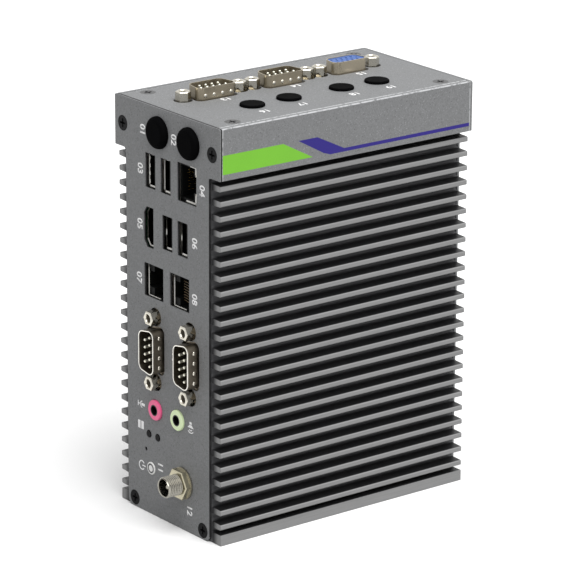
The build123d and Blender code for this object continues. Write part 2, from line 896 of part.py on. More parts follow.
def d_shell(outer_length, outer_breadth):
    """Pressed metal shell: a flange with two holes and a D-shaped rim."""
    with BuildPart() as shell:
        with BuildSketch():
            RectangleRounded(d_flange_width, d_flange_length, 1.2)
            with Locations(*jack_screw_spots):
                Circle(screw_shank_radius + 3 * free_play, mode=Mode.SUBTRACT)
        extrude(amount=-d_flange_thickness)
        with BuildSketch():
            add(d_outline(outer_length, outer_breadth, d_corner_round))
        extrude(amount=d_rim_height)
        with BuildSketch(Plane.XY.offset(-d_flange_thickness)):
            add(
                d_outline(
                    outer_length - 2 * d_shell_wall,
                    outer_breadth - 2 * d_shell_wall,
                    d_corner_round - d_shell_wall,
                )
            )
        extrude(amount=d_flange_thickness + d_rim_height, mode=Mode.SUBTRACT)
    return shell.part


def d_insert(outer_length, outer_breadth, face_height):
    """Plastic insulator: a D-shaped face inside the rim on a block behind the flange."""
    with BuildPart() as insert:
        with BuildSketch(Plane.XY.offset(-d_flange_thickness)):
            add(
                d_outline(
                    outer_length - 2 * d_shell_wall - 2 * free_play,
                    outer_breadth - 2 * d_shell_wall - 2 * free_play,
                    d_corner_round - d_shell_wall,
                )
            )
        extrude(amount=d_flange_thickness + face_height)
        with BuildSketch(Plane.XY.offset(-d_flange_thickness)):
            Rectangle(d_body_breadth, d_body_length)
        extrude(amount=-(d_body_depth - d_flange_thickness))
    return insert.part


serial_shell = d_shell(d_outer_length, d_outer_breadth)
serial_insert = d_insert(d_outer_length, d_outer_breadth, serial_face_height)
monitor_face_height = d_rim_height - monitor_face_inset

with BuildPart() as serial_pins:
    with BuildSketch(Plane.XY.offset(serial_face_height)):
        with Locations(*[(pin_row_spacing / 2, (i - 2) * pin_pitch) for i in range(5)]):
            Circle(pin_radius)
        with Locations(*[(-pin_row_spacing / 2, (i - 1.5) * pin_pitch) for i in range(4)]):
            Circle(pin_radius)
    extrude(amount=pin_length)
    chamfer(serial_pins.edges().group_by(Axis.Z)[-1], pin_radius * 0.45)

with BuildPart() as jack_screw:
    with BuildSketch():
        RegularPolygon(jack_screw_flats / 2, 6, major_radius=False)
    extrude(amount=jack_screw_height)
    chamfer(jack_screw.edges().group_by(Axis.Z)[-1], 0.35)
    with BuildSketch():
        Circle(screw_shank_radius)
    extrude(amount=-3.0)
    with BuildSketch(Plane.XY.offset(jack_screw_height)):
        Circle(jack_thread_radius)
    extrude(amount=-jack_thread_depth, mode=Mode.SUBTRACT)

with BuildPart() as serial_shells_front:
    with Locations(front_flange_plane):
        with Locations(*serial_front_spots):
            add(serial_shell)
serial_shells_front.part.label = "serial_shells_front"
export_step(serial_shells_front.part, "parts/serial_shells_front.step")

serial_foot_low = serial_front_spots[0][0] - d_body_breadth / 2
with BuildPart() as serial_bodies_front:
    with Locations(front_flange_plane):
        with Locations(*serial_front_spots):
            add(serial_insert)
    with BuildSketch(front_flange_plane.offset(-d_flange_thickness)):
        with Locations(((main_board_x + serial_foot_low) / 2, serial_front_spots[0][1])):
            Rectangle(serial_foot_low - main_board_x, d_body_length)
    extrude(amount=-(d_body_depth - d_flange_thickness))
serial_bodies_front.part.label = "serial_bodies_front"
export_step(serial_bodies_front.part, "parts/serial_bodies_front.step")

with BuildPart() as serial_pins_front:
    with Locations(front_flange_plane):
        with Locations(*serial_front_spots):
            add(serial_pins.part)
serial_pins_front.part.label = "serial_pins_front"
export_step(serial_pins_front.part, "parts/serial_pins_front.step")

with BuildPart() as jack_screws_front:
    with Locations(front_flange_plane):
        with Locations(*[(x, z + dz) for x, z in serial_front_spots for dx, dz in jack_screw_spots]):
            add(jack_screw.part)
jack_screws_front.part.label = "jack_screws_front"
export_step(jack_screws_front.part, "parts/jack_screws_front.step")

with BuildPart() as serial_shells_top:
    with Locations(top_flange_plane):
        with Locations(*serial_top_spots):
            add(serial_shell)
serial_shells_top.part.label = "serial_shells_top"
export_step(serial_shells_top.part, "parts/serial_shells_top.step")

with BuildPart() as serial_bodies_top:
    with Locations(top_flange_plane):
        with Locations(*serial_top_spots):
            add(serial_insert)
serial_bodies_top.part.label = "serial_bodies_top"
export_step(serial_bodies_top.part, "parts/serial_bodies_top.step")

with BuildPart() as serial_pins_top:
    with Locations(top_flange_plane):
        with Locations(*serial_top_spots):
            add(serial_pins.part)
serial_pins_top.part.label = "serial_pins_top"
export_step(serial_pins_top.part, "parts/serial_pins_top.step")

# Fifteen-way monitor socket: the same flange with a blue face full of holes
with BuildPart() as monitor_port_shell:
    with Locations(top_flange_plane):
        with Locations(monitor_spot):
            add(d_shell(monitor_outer_length, monitor_outer_breadth))
monitor_port_shell.part.label = "monitor_port_shell"
export_step(monitor_port_shell.part, "parts/monitor_port_shell.step")

monitor_holes = [
    (monitor_spot[0] + (1 - row) * monitor_row_spacing,
     monitor_spot[1] + (i - 2 + (0.25 if row == 1 else -0.25)) * monitor_hole_pitch)
    for row in range(3)
    for i in range(5)
]
with BuildPart() as monitor_port_insert:
    with Locations(top_flange_plane):
        with Locations(monitor_spot):
            add(d_insert(monitor_outer_length, monitor_outer_breadth, monitor_face_height))
    with BuildSketch(top_flange_plane.offset(monitor_face_height)):
        with Locations(*monitor_holes):
            Circle(monitor_hole_radius)
    extrude(amount=-monitor_hole_depth, mode=Mode.SUBTRACT)
monitor_port_insert.part.label = "monitor_port_insert"
export_step(monitor_port_insert.part, "parts/monitor_port_insert.step")

top_row_spots = serial_top_spots + [monitor_spot]
with BuildPart() as jack_screws_top:
    with Locations(top_flange_plane):
        with Locations(*[(x, y + dy) for x, y in top_row_spots for dx, dy in jack_screw_spots]):
            add(jack_screw.part)
jack_screws_top.part.label = "jack_screws_top"
export_step(jack_screws_top.part, "parts/jack_screws_top.step")

# Circuit boards: a main board behind one wall, a port board behind the other, a
# header board under the top plate and a riser board between the first two
main_plane = Plane.YZ.offset(main_board_x)
io_plane = Plane.YZ.offset(io_board_x)
board_height = board_top - board_bottom
board_middle = (board_top + board_bottom) / 2
main_board_length = main_board_front + main_board_back
io_board_length = main_board_front + io_board_back
main_screw_spots = [(y, z) for y in main_screw_y for z in board_screw_z]
io_screw_spots = [(y, z) for y in io_screw_y for z in board_screw_z]
header_screw_spots = [(x, y) for x in (-header_screw_x, header_screw_x) for y in header_screw_y]
card_screw_spot = (card_screw_y, card_z)
screw_hole_radius = screw_shank_radius + free_play


def board_block(x_low, x_high, y_low, y_high, z_low, z_high, mode=Mode.ADD):
    """Rectangular block between two corners, added to the piece being built."""
    with Locations(((x_low + x_high) / 2, (y_low + y_high) / 2, (z_low + z_high) / 2)):
        Box(x_high - x_low, y_high - y_low, z_high - z_low, mode=mode)


with BuildPart() as main_board:
    with BuildSketch(main_plane):
        with Locations(((main_board_back - main_board_front) / 2, board_middle)):
            RectangleRounded(main_board_length, board_height, board_corner_round)
        with Locations((0, (board_middle + tab_top) / 2)):
            Rectangle(tab_length, tab_top - board_middle)
        with Locations(*main_screw_spots, card_screw_spot):
            Circle(screw_hole_radius, mode=Mode.SUBTRACT)
    extrude(amount=-board_thickness)
main_board.part.label = "main_board"
export_step(main_board.part, "parts/main_board.step")

with BuildPart() as io_board:
    with BuildSketch(io_plane):
        with Locations(((io_board_back - main_board_front) / 2, board_middle)):
            RectangleRounded(io_board_length, board_height, board_corner_round)
        with Locations(*io_screw_spots):
            Circle(screw_hole_radius, mode=Mode.SUBTRACT)
    extrude(amount=board_thickness)
io_board.part.label = "io_board"
export_step(io_board.part, "parts/io_board.step")

with BuildPart() as header_board:
    with BuildSketch(Plane.XY.offset(header_board_z)):
        RectangleRounded(header_board_width, header_board_length, board_corner_round)
        with Locations(*header_screw_spots):
            Circle(screw_hole_radius, mode=Mode.SUBTRACT)
    extrude(amount=board_thickness)
header_board.part.label = "header_board"
export_step(header_board.part, "parts/header_board.step")

riser_low_x = main_board_x + riser_socket_reach - riser_grip
riser_high_x = io_board_x - riser_socket_reach + riser_grip
with BuildPart() as riser_board:
    board_block(
        riser_low_x,
        riser_high_x,
        -riser_front,
        riser_length - riser_front,
        riser_z,
        riser_z + board_thickness,
    )
riser_board.part.label = "riser_board"
export_step(riser_board.part, "parts/riser_board.step")

# Sockets for the riser, the header board, the memory module and the storage card
riser_socket_low = riser_z + (board_thickness - riser_socket_height) / 2
memory_low = memory_z - memory_length / 2
memory_high = memory_z + memory_length / 2
memory_x = main_board_x + memory_lift
card_x = main_board_x + card_lift
with BuildPart() as board_sockets:
    for low_x in (main_board_x, io_board_x - riser_socket_reach):
        board_block(
            low_x,
            low_x + riser_socket_reach,
            -riser_front,
            riser_length - riser_front,
            riser_socket_low,
            riser_socket_low + riser_socket_height,
        )
    board_block(
        riser_low_x,
        riser_high_x,
        -riser_front,
        riser_length - riser_front,
        riser_z - free_play,
        riser_z + board_thickness + free_play,
        mode=Mode.SUBTRACT,
    )
    board_block(
        main_board_x - board_thickness / 2 - header_socket_width / 2,
        main_board_x - board_thickness / 2 + header_socket_width / 2,
        -header_socket_length / 2,
        header_socket_length / 2,
        header_socket_low,
        header_board_z,
    )
    board_block(
        main_board_x - board_thickness - free_play,
        main_board_x + free_play,
        -tab_length / 2 - free_play,
        tab_length / 2 + free_play,
        header_socket_low,
        tab_top + free_play,
        mode=Mode.SUBTRACT,
    )
    socket_front = memory_y + memory_grip - memory_socket_depth
    board_block(
        main_board_x,
        main_board_x + memory_socket_lift,
        socket_front,
        socket_front + memory_socket_depth,
        memory_low - memory_arm_width,
        memory_high + memory_arm_width,
    )
    for arm_z in (memory_low - memory_arm_width, memory_high + free_play):
        board_block(
            main_board_x,
            main_board_x + memory_socket_lift,
            socket_front,
            socket_front + memory_socket_depth + memory_arm_length,
            arm_z,
            arm_z + memory_arm_width - free_play,
        )
    board_block(
        memory_x - free_play,
        memory_x + memory_thickness + free_play,
        memory_y,
        memory_y + memory_grip,
        memory_low - free_play,
        memory_high + free_play,
        mode=Mode.SUBTRACT,
    )
    board_block(
        main_board_x,
        main_board_x + card_socket_lift,
        card_y + card_grip - card_socket_depth,
        card_y + card_grip,
        card_z - card_width / 2,
        card_z + card_width / 2,
    )
    board_block(
        card_x - free_play,
        card_x + card_thickness + free_play,
        card_y,
        card_y + card_grip,
        card_z - card_width / 2,
        card_z + card_width / 2,
        mode=Mode.SUBTRACT,
    )
board_sockets.part.label = "board_sockets"
export_step(board_sockets.part, "parts/board_sockets.step")

# Round standoffs under the boards and the storage card
inner_wall_x = body_inner_width / 2
header_floor_z = body_height + frame_floor
with BuildPart() as board_standoffs:
    with BuildSketch(main_plane.offset(-board_thickness)):
        with Locations(*main_screw_spots):
            Circle(standoff_radius)
            Circle(screw_hole_radius, mode=Mode.SUBTRACT)
    extrude(amount=-(inner_wall_x + main_board_x - board_thickness))
    with BuildSketch(io_plane.offset(board_thickness)):
        with Locations(*io_screw_spots):
            Circle(standoff_radius)
            Circle(screw_hole_radius, mode=Mode.SUBTRACT)
    extrude(amount=inner_wall_x - io_board_x - board_thickness)
    with BuildSketch(Plane.XY.offset(header_board_z)):
        with Locations(*header_screw_spots):
            Circle(standoff_radius)
            Circle(screw_hole_radius, mode=Mode.SUBTRACT)
    extrude(amount=header_floor_z - header_board_z)
    with BuildSketch(main_plane):
        with Locations(card_screw_spot):
            Circle(standoff_radius)
            Circle(screw_hole_radius, mode=Mode.SUBTRACT)
    extrude(amount=card_lift)
board_standoffs.part.label = "board_standoffs"
export_step(board_standoffs.part, "parts/board_standoffs.step")

board_screw = pan_screw(board_screw_length)
with BuildPart() as board_screws:
    with Locations(main_plane):
        with Locations(*main_screw_spots):
            add(board_screw)
    with Locations(Plane(origin=(io_board_x, 0, 0), x_dir=(0, 1, 0), z_dir=(-1, 0, 0))):
        with Locations(*[(y, -z) for y, z in io_screw_spots]):
            add(board_screw)
    with Locations(Plane.XY.offset(header_board_z + board_thickness)):
        with Locations(*header_screw_spots):
            add(board_screw)
    with Locations(main_plane.offset(card_lift + card_thickness)):
        with Locations(card_screw_spot):
            add(board_screw)
board_screws.part.label = "board_screws"
export_step(board_screws.part, "parts/board_screws.step")

# Processor on the back of the main board, with a pad and a block that lead its
# heat into the chassis wall
processor_plane = main_plane.offset(-board_thickness)
with BuildPart() as processor:
    with BuildSketch(processor_plane):
        with Locations((processor_y, processor_z)):
            Rectangle(processor_size, processor_size)
    extrude(amount=-processor_thickness)
processor.part.label = "processor"
export_step(processor.part, "parts/processor.step")

pad_plane = processor_plane.offset(-processor_thickness)
with BuildPart() as thermal_pad:
    with BuildSketch(pad_plane):
        with Locations((processor_y, processor_z)):
            Rectangle(processor_size, processor_size)
    extrude(amount=-pad_thickness)
thermal_pad.part.label = "thermal_pad"
export_step(thermal_pad.part, "parts/thermal_pad.step")

block_plane = pad_plane.offset(-pad_thickness)
block_depth = inner_wall_x + main_board_x - board_thickness - processor_thickness - pad_thickness
with BuildPart() as heat_block:
    with BuildSketch(block_plane):
        with Locations((processor_y, processor_z)):
            Rectangle(block_size, block_size)
    extrude(amount=-block_depth)
    chamfer(heat_block.edges().filter_by(Axis.X), 2.0)
heat_block.part.label = "heat_block"
export_step(heat_block.part, "parts/heat_block.step")

# Memory module with its chips
with BuildPart() as memory_module:
    with BuildSketch(main_plane.offset(memory_lift)):
        with Locations((memory_y + memory_height / 2, memory_z)):
            Rectangle(memory_height, memory_length)
    extrude(amount=memory_thickness)
    with BuildSketch(main_plane.offset(memory_lift + memory_thickness)):
        with Locations((memory_y + memory_height * 0.6, memory_z)):
            with GridLocations(0, memory_chip_pitch, 1, 4):
                Rectangle(memory_height * 0.45, memory_chip_size)
    extrude(amount=chip_thickness)
memory_module.part.label = "memory_module"
export_step(memory_module.part, "parts/memory_module.step")

# Storage card with its two chips
with BuildPart() as storage_card:
    with BuildSketch(main_plane.offset(card_lift)):
        with Locations((card_y + card_length / 2, card_z)):
            Rectangle(card_length, card_width)
        with Locations(card_screw_spot):
            Circle(screw_hole_radius, mode=Mode.SUBTRACT)
    extrude(amount=card_thickness)
    with BuildSketch(main_plane.offset(card_lift + card_thickness)):
        with Locations((card_y + card_length * 0.42, card_z)):
            with GridLocations(card_chip_size * 1.2, 0, 2, 1):
                Rectangle(card_chip_size, card_chip_size)
    extrude(amount=chip_thickness)
storage_card.part.label = "storage_card"
export_step(storage_card.part, "parts/storage_card.step")

# Coin cell in its round holder
with BuildPart() as cell_holder:
    with BuildSketch(main_plane):
        with Locations(cell_spot):
            Circle(cell_radius + cell_holder_wall)
    extrude(amount=cell_holder_lift)
    with BuildSketch(main_plane.offset(cell_holder_floor)):
        with Locations(cell_spot):
            Circle(cell_radius + free_play)
    extrude(amount=cell_holder_lift, mode=Mode.SUBTRACT)
cell_holder.part.label = "cell_holder"
export_step(cell_holder.part, "parts/cell_holder.step")

with BuildPart() as coin_cell:
    with BuildSketch(main_plane.offset(cell_holder_floor)):
        with Locations(cell_spot):
            Circle(cell_radius)
    extrude(amount=cell_thickness)
    fillet(coin_cell.edges().group_by(Axis.X)[-1], 0.5)
coin_cell.part.label = "coin_cell"
export_step(coin_cell.part, "parts/coin_cell.step")

# Flat chips on the main board and the port board
with BuildPart() as board_chips:
    with BuildSketch(main_plane):
        with Locations(*main_chip_spots):
            Rectangle(board_chip_size, board_chip_size)
    extrude(amount=chip_thickness)
    with BuildSketch(io_plane):
        with Locations(*io_chip_spots):
            Rectangle(board_chip_size, board_chip_size)
    extrude(amount=-chip_thickness)
board_chips.part.label = "board_chips"
export_step(board_chips.part, "parts/board_chips.step")

# Sound jacks: a coloured nose through the port plate on a block that reaches its board
sound_half = sound_body_size / 2
with BuildPart() as microphone_jack:
    with BuildSketch(front_inner_plane):
        with Locations(((main_board_x + microphone_spot[0] + sound_half) / 2, microphone_spot[1])):
            Rectangle(microphone_spot[0] + sound_half - main_board_x, sound_body_size)
    extrude(amount=-sound_body_depth)
    with BuildSketch(front_inner_plane):
        with Locations(microphone_spot):
            Circle(sound_nose_radius)
    extrude(amount=plate_thickness + sound_nose_stand)
    chamfer(microphone_jack.edges().group_by(Axis.Y)[0], 0.3)
    with BuildSketch(front_plane.offset(sound_nose_stand)):
        with Locations(microphone_spot):
            Circle(sound_bore_radius)
    extrude(amount=-sound_bore_depth, mode=Mode.SUBTRACT)
microphone_jack.part.label = "microphone_jack"
export_step(microphone_jack.part, "parts/microphone_jack.step")

with BuildPart() as speaker_jack:
    with BuildSketch(front_inner_plane):
        with Locations(((io_board_x + speaker_spot[0] - sound_half) / 2, speaker_spot[1])):
            Rectangle(io_board_x - speaker_spot[0] + sound_half, sound_body_size)
    extrude(amount=-sound_body_depth)
    with BuildSketch(front_inner_plane):
        with Locations(speaker_spot):
            Circle(sound_nose_radius)
    extrude(amount=plate_thickness + sound_nose_stand)
    chamfer(speaker_jack.edges().group_by(Axis.Y)[0], 0.3)
    with BuildSketch(front_plane.offset(sound_nose_stand)):
        with Locations(speaker_spot):
            Circle(sound_bore_radius)
    extrude(amount=-sound_bore_depth, mode=Mode.SUBTRACT)
speaker_jack.part.label = "speaker_jack"
export_step(speaker_jack.part, "parts/speaker_jack.step")

# Two light pipes and the block that holds them on the main board
with BuildPart() as light_pipes:
    with BuildSketch(front_plane.offset(light_stand)):
        with Locations(*light_spots):
            Circle(light_radius)
    extrude(amount=-light_length)
    fillet(light_pipes.edges().group_by(Axis.Y)[0], light_stand * 0.9)
light_pipes.part.label = "light_pipes"
export_step(light_pipes.part, "parts/light_pipes.step")

indicator_plane = front_plane.offset(light_stand + light_grip - light_length)
with BuildPart() as indicator_holder:
    with BuildSketch(indicator_plane):
        with Locations((main_board_x + indicator_width / 2, light_spots[0][1])):
            Rectangle(indicator_width, indicator_height)
    extrude(amount=-indicator_depth)
    with BuildSketch(indicator_plane):
        with Locations(*light_spots):
            Circle(light_radius + free_play)
    extrude(amount=-light_grip, mode=Mode.SUBTRACT)
indicator_holder.part.label = "indicator_holder"
export_step(indicator_holder.part, "parts/indicator_holder.step")

# Power button: a round cap, a flange that keeps it behind the plate, and a stem
with BuildPart() as power_button:
    with BuildSketch(front_plane.offset(power_cap_stand)):
        with Locations(power_spot):
            Circle(power_cap_radius)
    extrude(amount=-(power_cap_stand + plate_thickness + 2 * free_play))
    fillet(power_button.edges().group_by(Axis.Y)[0], power_cap_stand * 0.7)
    with BuildSketch(front_inner_plane.offset(-free_play)):
        with Locations(power_spot):
            Circle(power_cap_flange)
    extrude(amount=-power_flange_thickness)
    with BuildSketch(front_inner_plane.offset(-free_play)):
        with Locations(power_spot):
            Circle(power_stem_radius)
    extrude(amount=plate_thickness + free_play - power_stem_end)
power_button.part.label = "power_button"
export_step(power_button.part, "parts/power_button.step")

# Clear button: a thin stem that waits behind a pin hole
with BuildPart() as clear_button:
    with BuildSketch(front_plane.offset(-clear_tip_inset)):
        with Locations(clear_spot):
            Circle(clear_stem_radius)
    extrude(amount=clear_tip_inset - clear_stem_end)
    with BuildSketch(front_inner_plane.offset(-free_play)):
        with Locations(clear_spot):
            Circle(clear_collar_radius)
    extrude(amount=-clear_collar_thickness)
clear_button.part.label = "clear_button"
export_step(clear_button.part, "parts/clear_button.step")

# Switches on the main board that the two buttons press
power_switch_plane = front_plane.offset(switch_engagement - power_stem_end)
clear_switch_plane = front_plane.offset(switch_engagement - clear_stem_end)
with BuildPart() as button_switches:
    with BuildSketch(power_switch_plane):
        with Locations(((main_board_x + power_spot[0] + power_switch_size / 2) / 2, power_spot[1])):
            Rectangle(power_spot[0] + power_switch_size / 2 - main_board_x, power_switch_size)
    extrude(amount=-switch_depth)
    with BuildSketch(clear_switch_plane):
        with Locations(((main_board_x + clear_spot[0] + clear_switch_size / 2) / 2, clear_spot[1])):
            Rectangle(clear_spot[0] + clear_switch_size / 2 - main_board_x, clear_switch_size)
    extrude(amount=-switch_depth)
    with BuildSketch(power_switch_plane):
        with Locations(power_spot):
            Circle(power_stem_radius + free_play)
    extrude(amount=-(switch_engagement + power_travel + switch_end_play), mode=Mode.SUBTRACT)
    with BuildSketch(clear_switch_plane):
        with Locations(clear_spot):
            Circle(clear_stem_radius + free_play)
    extrude(amount=-(switch_engagement + clear_travel + switch_end_play), mode=Mode.SUBTRACT)
button_switches.part.label = "button_switches"
export_step(button_switches.part, "parts/button_switches.step")

# Power inlet: a threaded barrel through the port plate, its nut and washer, a
# centre pin and the block behind the plate
with BuildPart() as power_inlet_barrel:
    with BuildSketch(front_inner_plane):
        with Locations(inlet_spot):
            Circle(inlet_barrel_radius)
            Circle(inlet_bore_radius, mode=Mode.SUBTRACT)
    extrude(amount=plate_thickness + inlet_stand)
    chamfer(power_inlet_barrel.edges().group_by(Axis.Y)[0], 0.25)
power_inlet_barrel.part.label = "power_inlet_barrel"
export_step(power_inlet_barrel.part, "parts/power_inlet_barrel.step")

with BuildPart() as power_inlet_washer:
    with BuildSketch(front_plane):
        with Locations(inlet_spot):
            Circle(inlet_washer_radius)
            Circle(inlet_barrel_radius + free_play, mode=Mode.SUBTRACT)
    extrude(amount=inlet_washer_thickness)
power_inlet_washer.part.label = "power_inlet_washer"
export_step(power_inlet_washer.part, "parts/power_inlet_washer.step")

with BuildPart() as power_inlet_nut:
    with BuildSketch(front_plane.offset(inlet_washer_thickness)):
        with Locations(inlet_spot):
            RegularPolygon(inlet_nut_flats / 2, 6, major_radius=False)
    extrude(amount=inlet_nut_thickness)
    chamfer(power_inlet_nut.edges().group_by(Axis.Y)[0], 0.35)
    with BuildSketch(front_plane.offset(inlet_washer_thickness)):
        with Locations(inlet_spot):
            Circle(inlet_barrel_radius + free_play)
    extrude(amount=inlet_nut_thickness, mode=Mode.SUBTRACT)
power_inlet_nut.part.label = "power_inlet_nut"
export_step(power_inlet_nut.part, "parts/power_inlet_nut.step")

with BuildPart() as power_inlet_pin:
    with BuildSketch(front_inner_plane.offset(-inlet_pin_seat)):
        with Locations(inlet_spot):
            Circle(inlet_pin_radius)
    extrude(amount=inlet_pin_seat + plate_thickness + inlet_stand - inlet_pin_inset)
    fillet(power_inlet_pin.edges().group_by(Axis.Y)[0], inlet_pin_radius * 0.6)
power_inlet_pin.part.label = "power_inlet_pin"
export_step(power_inlet_pin.part, "parts/power_inlet_pin.step")

inlet_low_x = inlet_spot[0] - inlet_body_size / 2
with BuildPart() as power_inlet_body:
    with BuildSketch(front_inner_plane):
        with Locations(((inlet_low_x + io_board_x) / 2, inlet_spot[1])):
            Rectangle(io_board_x - inlet_low_x, inlet_body_size)
    extrude(amount=-inlet_body_depth)
    with BuildSketch(front_inner_plane):
        with Locations(inlet_spot):
            Circle(inlet_pin_radius)
    extrude(amount=-inlet_pin_seat, mode=Mode.SUBTRACT)
power_inlet_body.part.label = "power_inlet_body"
export_step(power_inlet_body.part, "parts/power_inlet_body.step")

# Rail bracket: a plate with a fixed hook at its top, a channel for the sliding
# latch, and windows for the latch's nose and its pull tab
rail_face_y = depth / 2 + bracket_thickness
channel_back_y = depth / 2 + channel_depth
lip_y = rail_face_y + rail_thickness + rail_play
reach_y = depth / 2 + bracket_reach
hook_low = rail_high + rail_play
nose_high = rail_low - rail_play
nose_low = nose_high - nose_root
peg_low = spring_window_bottom + free_play
spring_low = peg_low + peg_thickness
with BuildPart() as rail_bracket:
    with BuildSketch(rear_plane):
        with Locations((0, (bracket_bottom + bracket_top) / 2)):
            RectangleRounded(bracket_width, bracket_top - bracket_bottom, 2.0)
    extrude(amount=bracket_thickness)
    board_block(
        -bracket_width / 2,
        bracket_width / 2,
        rail_face_y,
        reach_y,
        hook_low,
        hook_low + hook_root,
    )
    board_block(
        -bracket_width / 2,
        bracket_width / 2,
        lip_y,
        reach_y,
        rail_high - hook_overlap,
        hook_low,
    )
    board_block(
        -channel_width / 2,
        channel_width / 2,
        depth / 2,
        channel_back_y,
        channel_bottom,
        channel_top,
        mode=Mode.SUBTRACT,
    )
    board_block(
        -tab_width / 2 - latch_play,
        tab_width / 2 + latch_play,
        depth / 2,
        channel_back_y,
        bracket_bottom,
        channel_bottom,
        mode=Mode.SUBTRACT,
    )
    board_block(
        -nose_width / 2 - latch_play,
        nose_width / 2 + latch_play,
        channel_back_y,
        rail_face_y,
        nose_low - latch_travel - window_play,
        rail_low + hook_overlap + window_play,
        mode=Mode.SUBTRACT,
    )
    board_block(
        -peg_width / 2,
        peg_width / 2,
        depth / 2 + spring_inset,
        channel_back_y,
        peg_low,
        spring_low,
    )
    with Locations(rear_plane.offset(bracket_thickness)):
        with Locations(*bracket_spots):
            CounterSinkHole(
                screw_head_radius - plate_thickness + free_play,
                screw_head_radius + free_play,
                bracket_thickness * 1.5,
                90,
            )
rail_bracket.part.label = "rail_bracket"
export_step(rail_bracket.part, "parts/rail_bracket.step")

# Rail latch: a slider with a nose that grips the rail from below, a window for
# its spring and a tab with a slot for a screwdriver
slide_half = channel_width / 2 - latch_play
slide_front_y = depth / 2 + slide_gap
slide_back_y = channel_back_y - slide_gap
with BuildPart() as rail_latch:
    board_block(-slide_half, slide_half, slide_front_y, slide_back_y, latch_bottom, latch_top)
    board_block(
        -tab_width / 2, tab_width / 2, slide_front_y, slide_back_y, tab_bottom, latch_bottom
    )
    board_block(
        -nose_width / 2, nose_width / 2, slide_back_y, reach_y, nose_low, nose_high
    )
    board_block(
        -nose_width / 2, nose_width / 2, lip_y, reach_y, nose_high, rail_low + hook_overlap
    )
    nose_tip = rail_latch.edges().filter_by(Axis.X).group_by(Axis.Y)[-1].sort_by(Axis.Z)
    chamfer(nose_tip[-1], nose_lead)
    board_block(
        -spring_window_width / 2,
        spring_window_width / 2,
        depth / 2,
        channel_back_y,
        spring_window_bottom,
        spring_window_top,
        mode=Mode.SUBTRACT,
    )
    board_block(
        -tab_slot_width / 2,
        tab_slot_width / 2,
        depth / 2,
        channel_back_y,
        tab_slot_z,
        tab_slot_z + tab_slot_height,
        mode=Mode.SUBTRACT,
    )
rail_latch.part.label = "rail_latch"
export_step(rail_latch.part, "parts/rail_latch.step")

# Latch spring: a strip folded back and forth between the peg and the latch
spring_rise = (spring_window_top - spring_low - spring_strip) / spring_turns
spring_half = peg_width / 2
with BuildPart() as latch_spring:
    with BuildSketch(Plane.XZ.offset(-depth / 2 - spring_inset)):
        for turn in range(spring_turns + 1):
            with Locations((0, spring_low + spring_strip / 2 + turn * spring_rise)):
                Rectangle(2 * spring_half, spring_strip)
        for turn in range(spring_turns):
            side = 1 if turn % 2 == 0 else -1
            bar_z = spring_low + spring_strip / 2 + turn * spring_rise
            with Locations((side * (spring_half - spring_strip / 2), bar_z + spring_rise / 2)):
                Rectangle(spring_strip, spring_rise)
    extrude(amount=-spring_width)
latch_spring.part.label = "latch_spring"
export_step(latch_spring.part, "parts/latch_spring.step")

# Countersunk screws that hold the rail bracket
with BuildPart() as bracket_screws:
    with Locations(rear_plane.offset(bracket_thickness)):
        with Locations(*bracket_spots):
            add(flat_screw)
bracket_screws.part.label = "bracket_screws"
export_step(bracket_screws.part, "parts/bracket_screws.step")
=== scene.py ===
import json
import math

import bmesh
import bpy
from bpy.props import FloatProperty, FloatVectorProperty, IntProperty, PointerProperty
from mathutils import Matrix, Vector


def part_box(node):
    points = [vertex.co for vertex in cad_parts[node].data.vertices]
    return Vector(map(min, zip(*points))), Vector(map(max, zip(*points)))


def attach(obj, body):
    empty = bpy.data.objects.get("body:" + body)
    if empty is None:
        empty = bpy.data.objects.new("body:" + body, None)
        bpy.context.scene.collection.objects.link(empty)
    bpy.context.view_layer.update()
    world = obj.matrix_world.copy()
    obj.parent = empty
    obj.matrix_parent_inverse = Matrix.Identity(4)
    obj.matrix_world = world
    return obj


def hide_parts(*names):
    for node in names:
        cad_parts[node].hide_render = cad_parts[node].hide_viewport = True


bl_info = {
    "name": "Rail-mounted computer",
    "version": (1, 0, 0),
    "blender": (4, 5, 0),
    "location": "View3D > Sidebar > Computer",
    "description": "Dresses a finned rail-mounted computer: coats, metals, prints, port details and stage",
    "category": "Object",
}

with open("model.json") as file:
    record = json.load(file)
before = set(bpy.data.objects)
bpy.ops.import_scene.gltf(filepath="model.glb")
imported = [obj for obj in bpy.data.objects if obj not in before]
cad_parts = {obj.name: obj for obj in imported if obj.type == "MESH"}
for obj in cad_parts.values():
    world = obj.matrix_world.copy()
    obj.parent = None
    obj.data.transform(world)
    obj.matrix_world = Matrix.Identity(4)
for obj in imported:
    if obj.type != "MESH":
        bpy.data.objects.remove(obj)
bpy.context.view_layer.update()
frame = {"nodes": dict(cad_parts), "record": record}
MM = 0.001

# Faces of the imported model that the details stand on
PLATE_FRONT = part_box("port_plate")[0].y
PLATE_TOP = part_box("top_plate")[1].z
CAP_FRONT, CAP_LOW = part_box("header_frame")[0].yz
CAP_SIDE, CAP_BACK, CAP_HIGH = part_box("header_frame")[1]
CHASSIS_SIDE, CHASSIS_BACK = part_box("chassis")[1].xy
PORT_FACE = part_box("usb_shells")[0].y
PLUG_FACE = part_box("serial_shells_front")[0].y
PLUG_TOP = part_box("serial_shells_top")[1].z

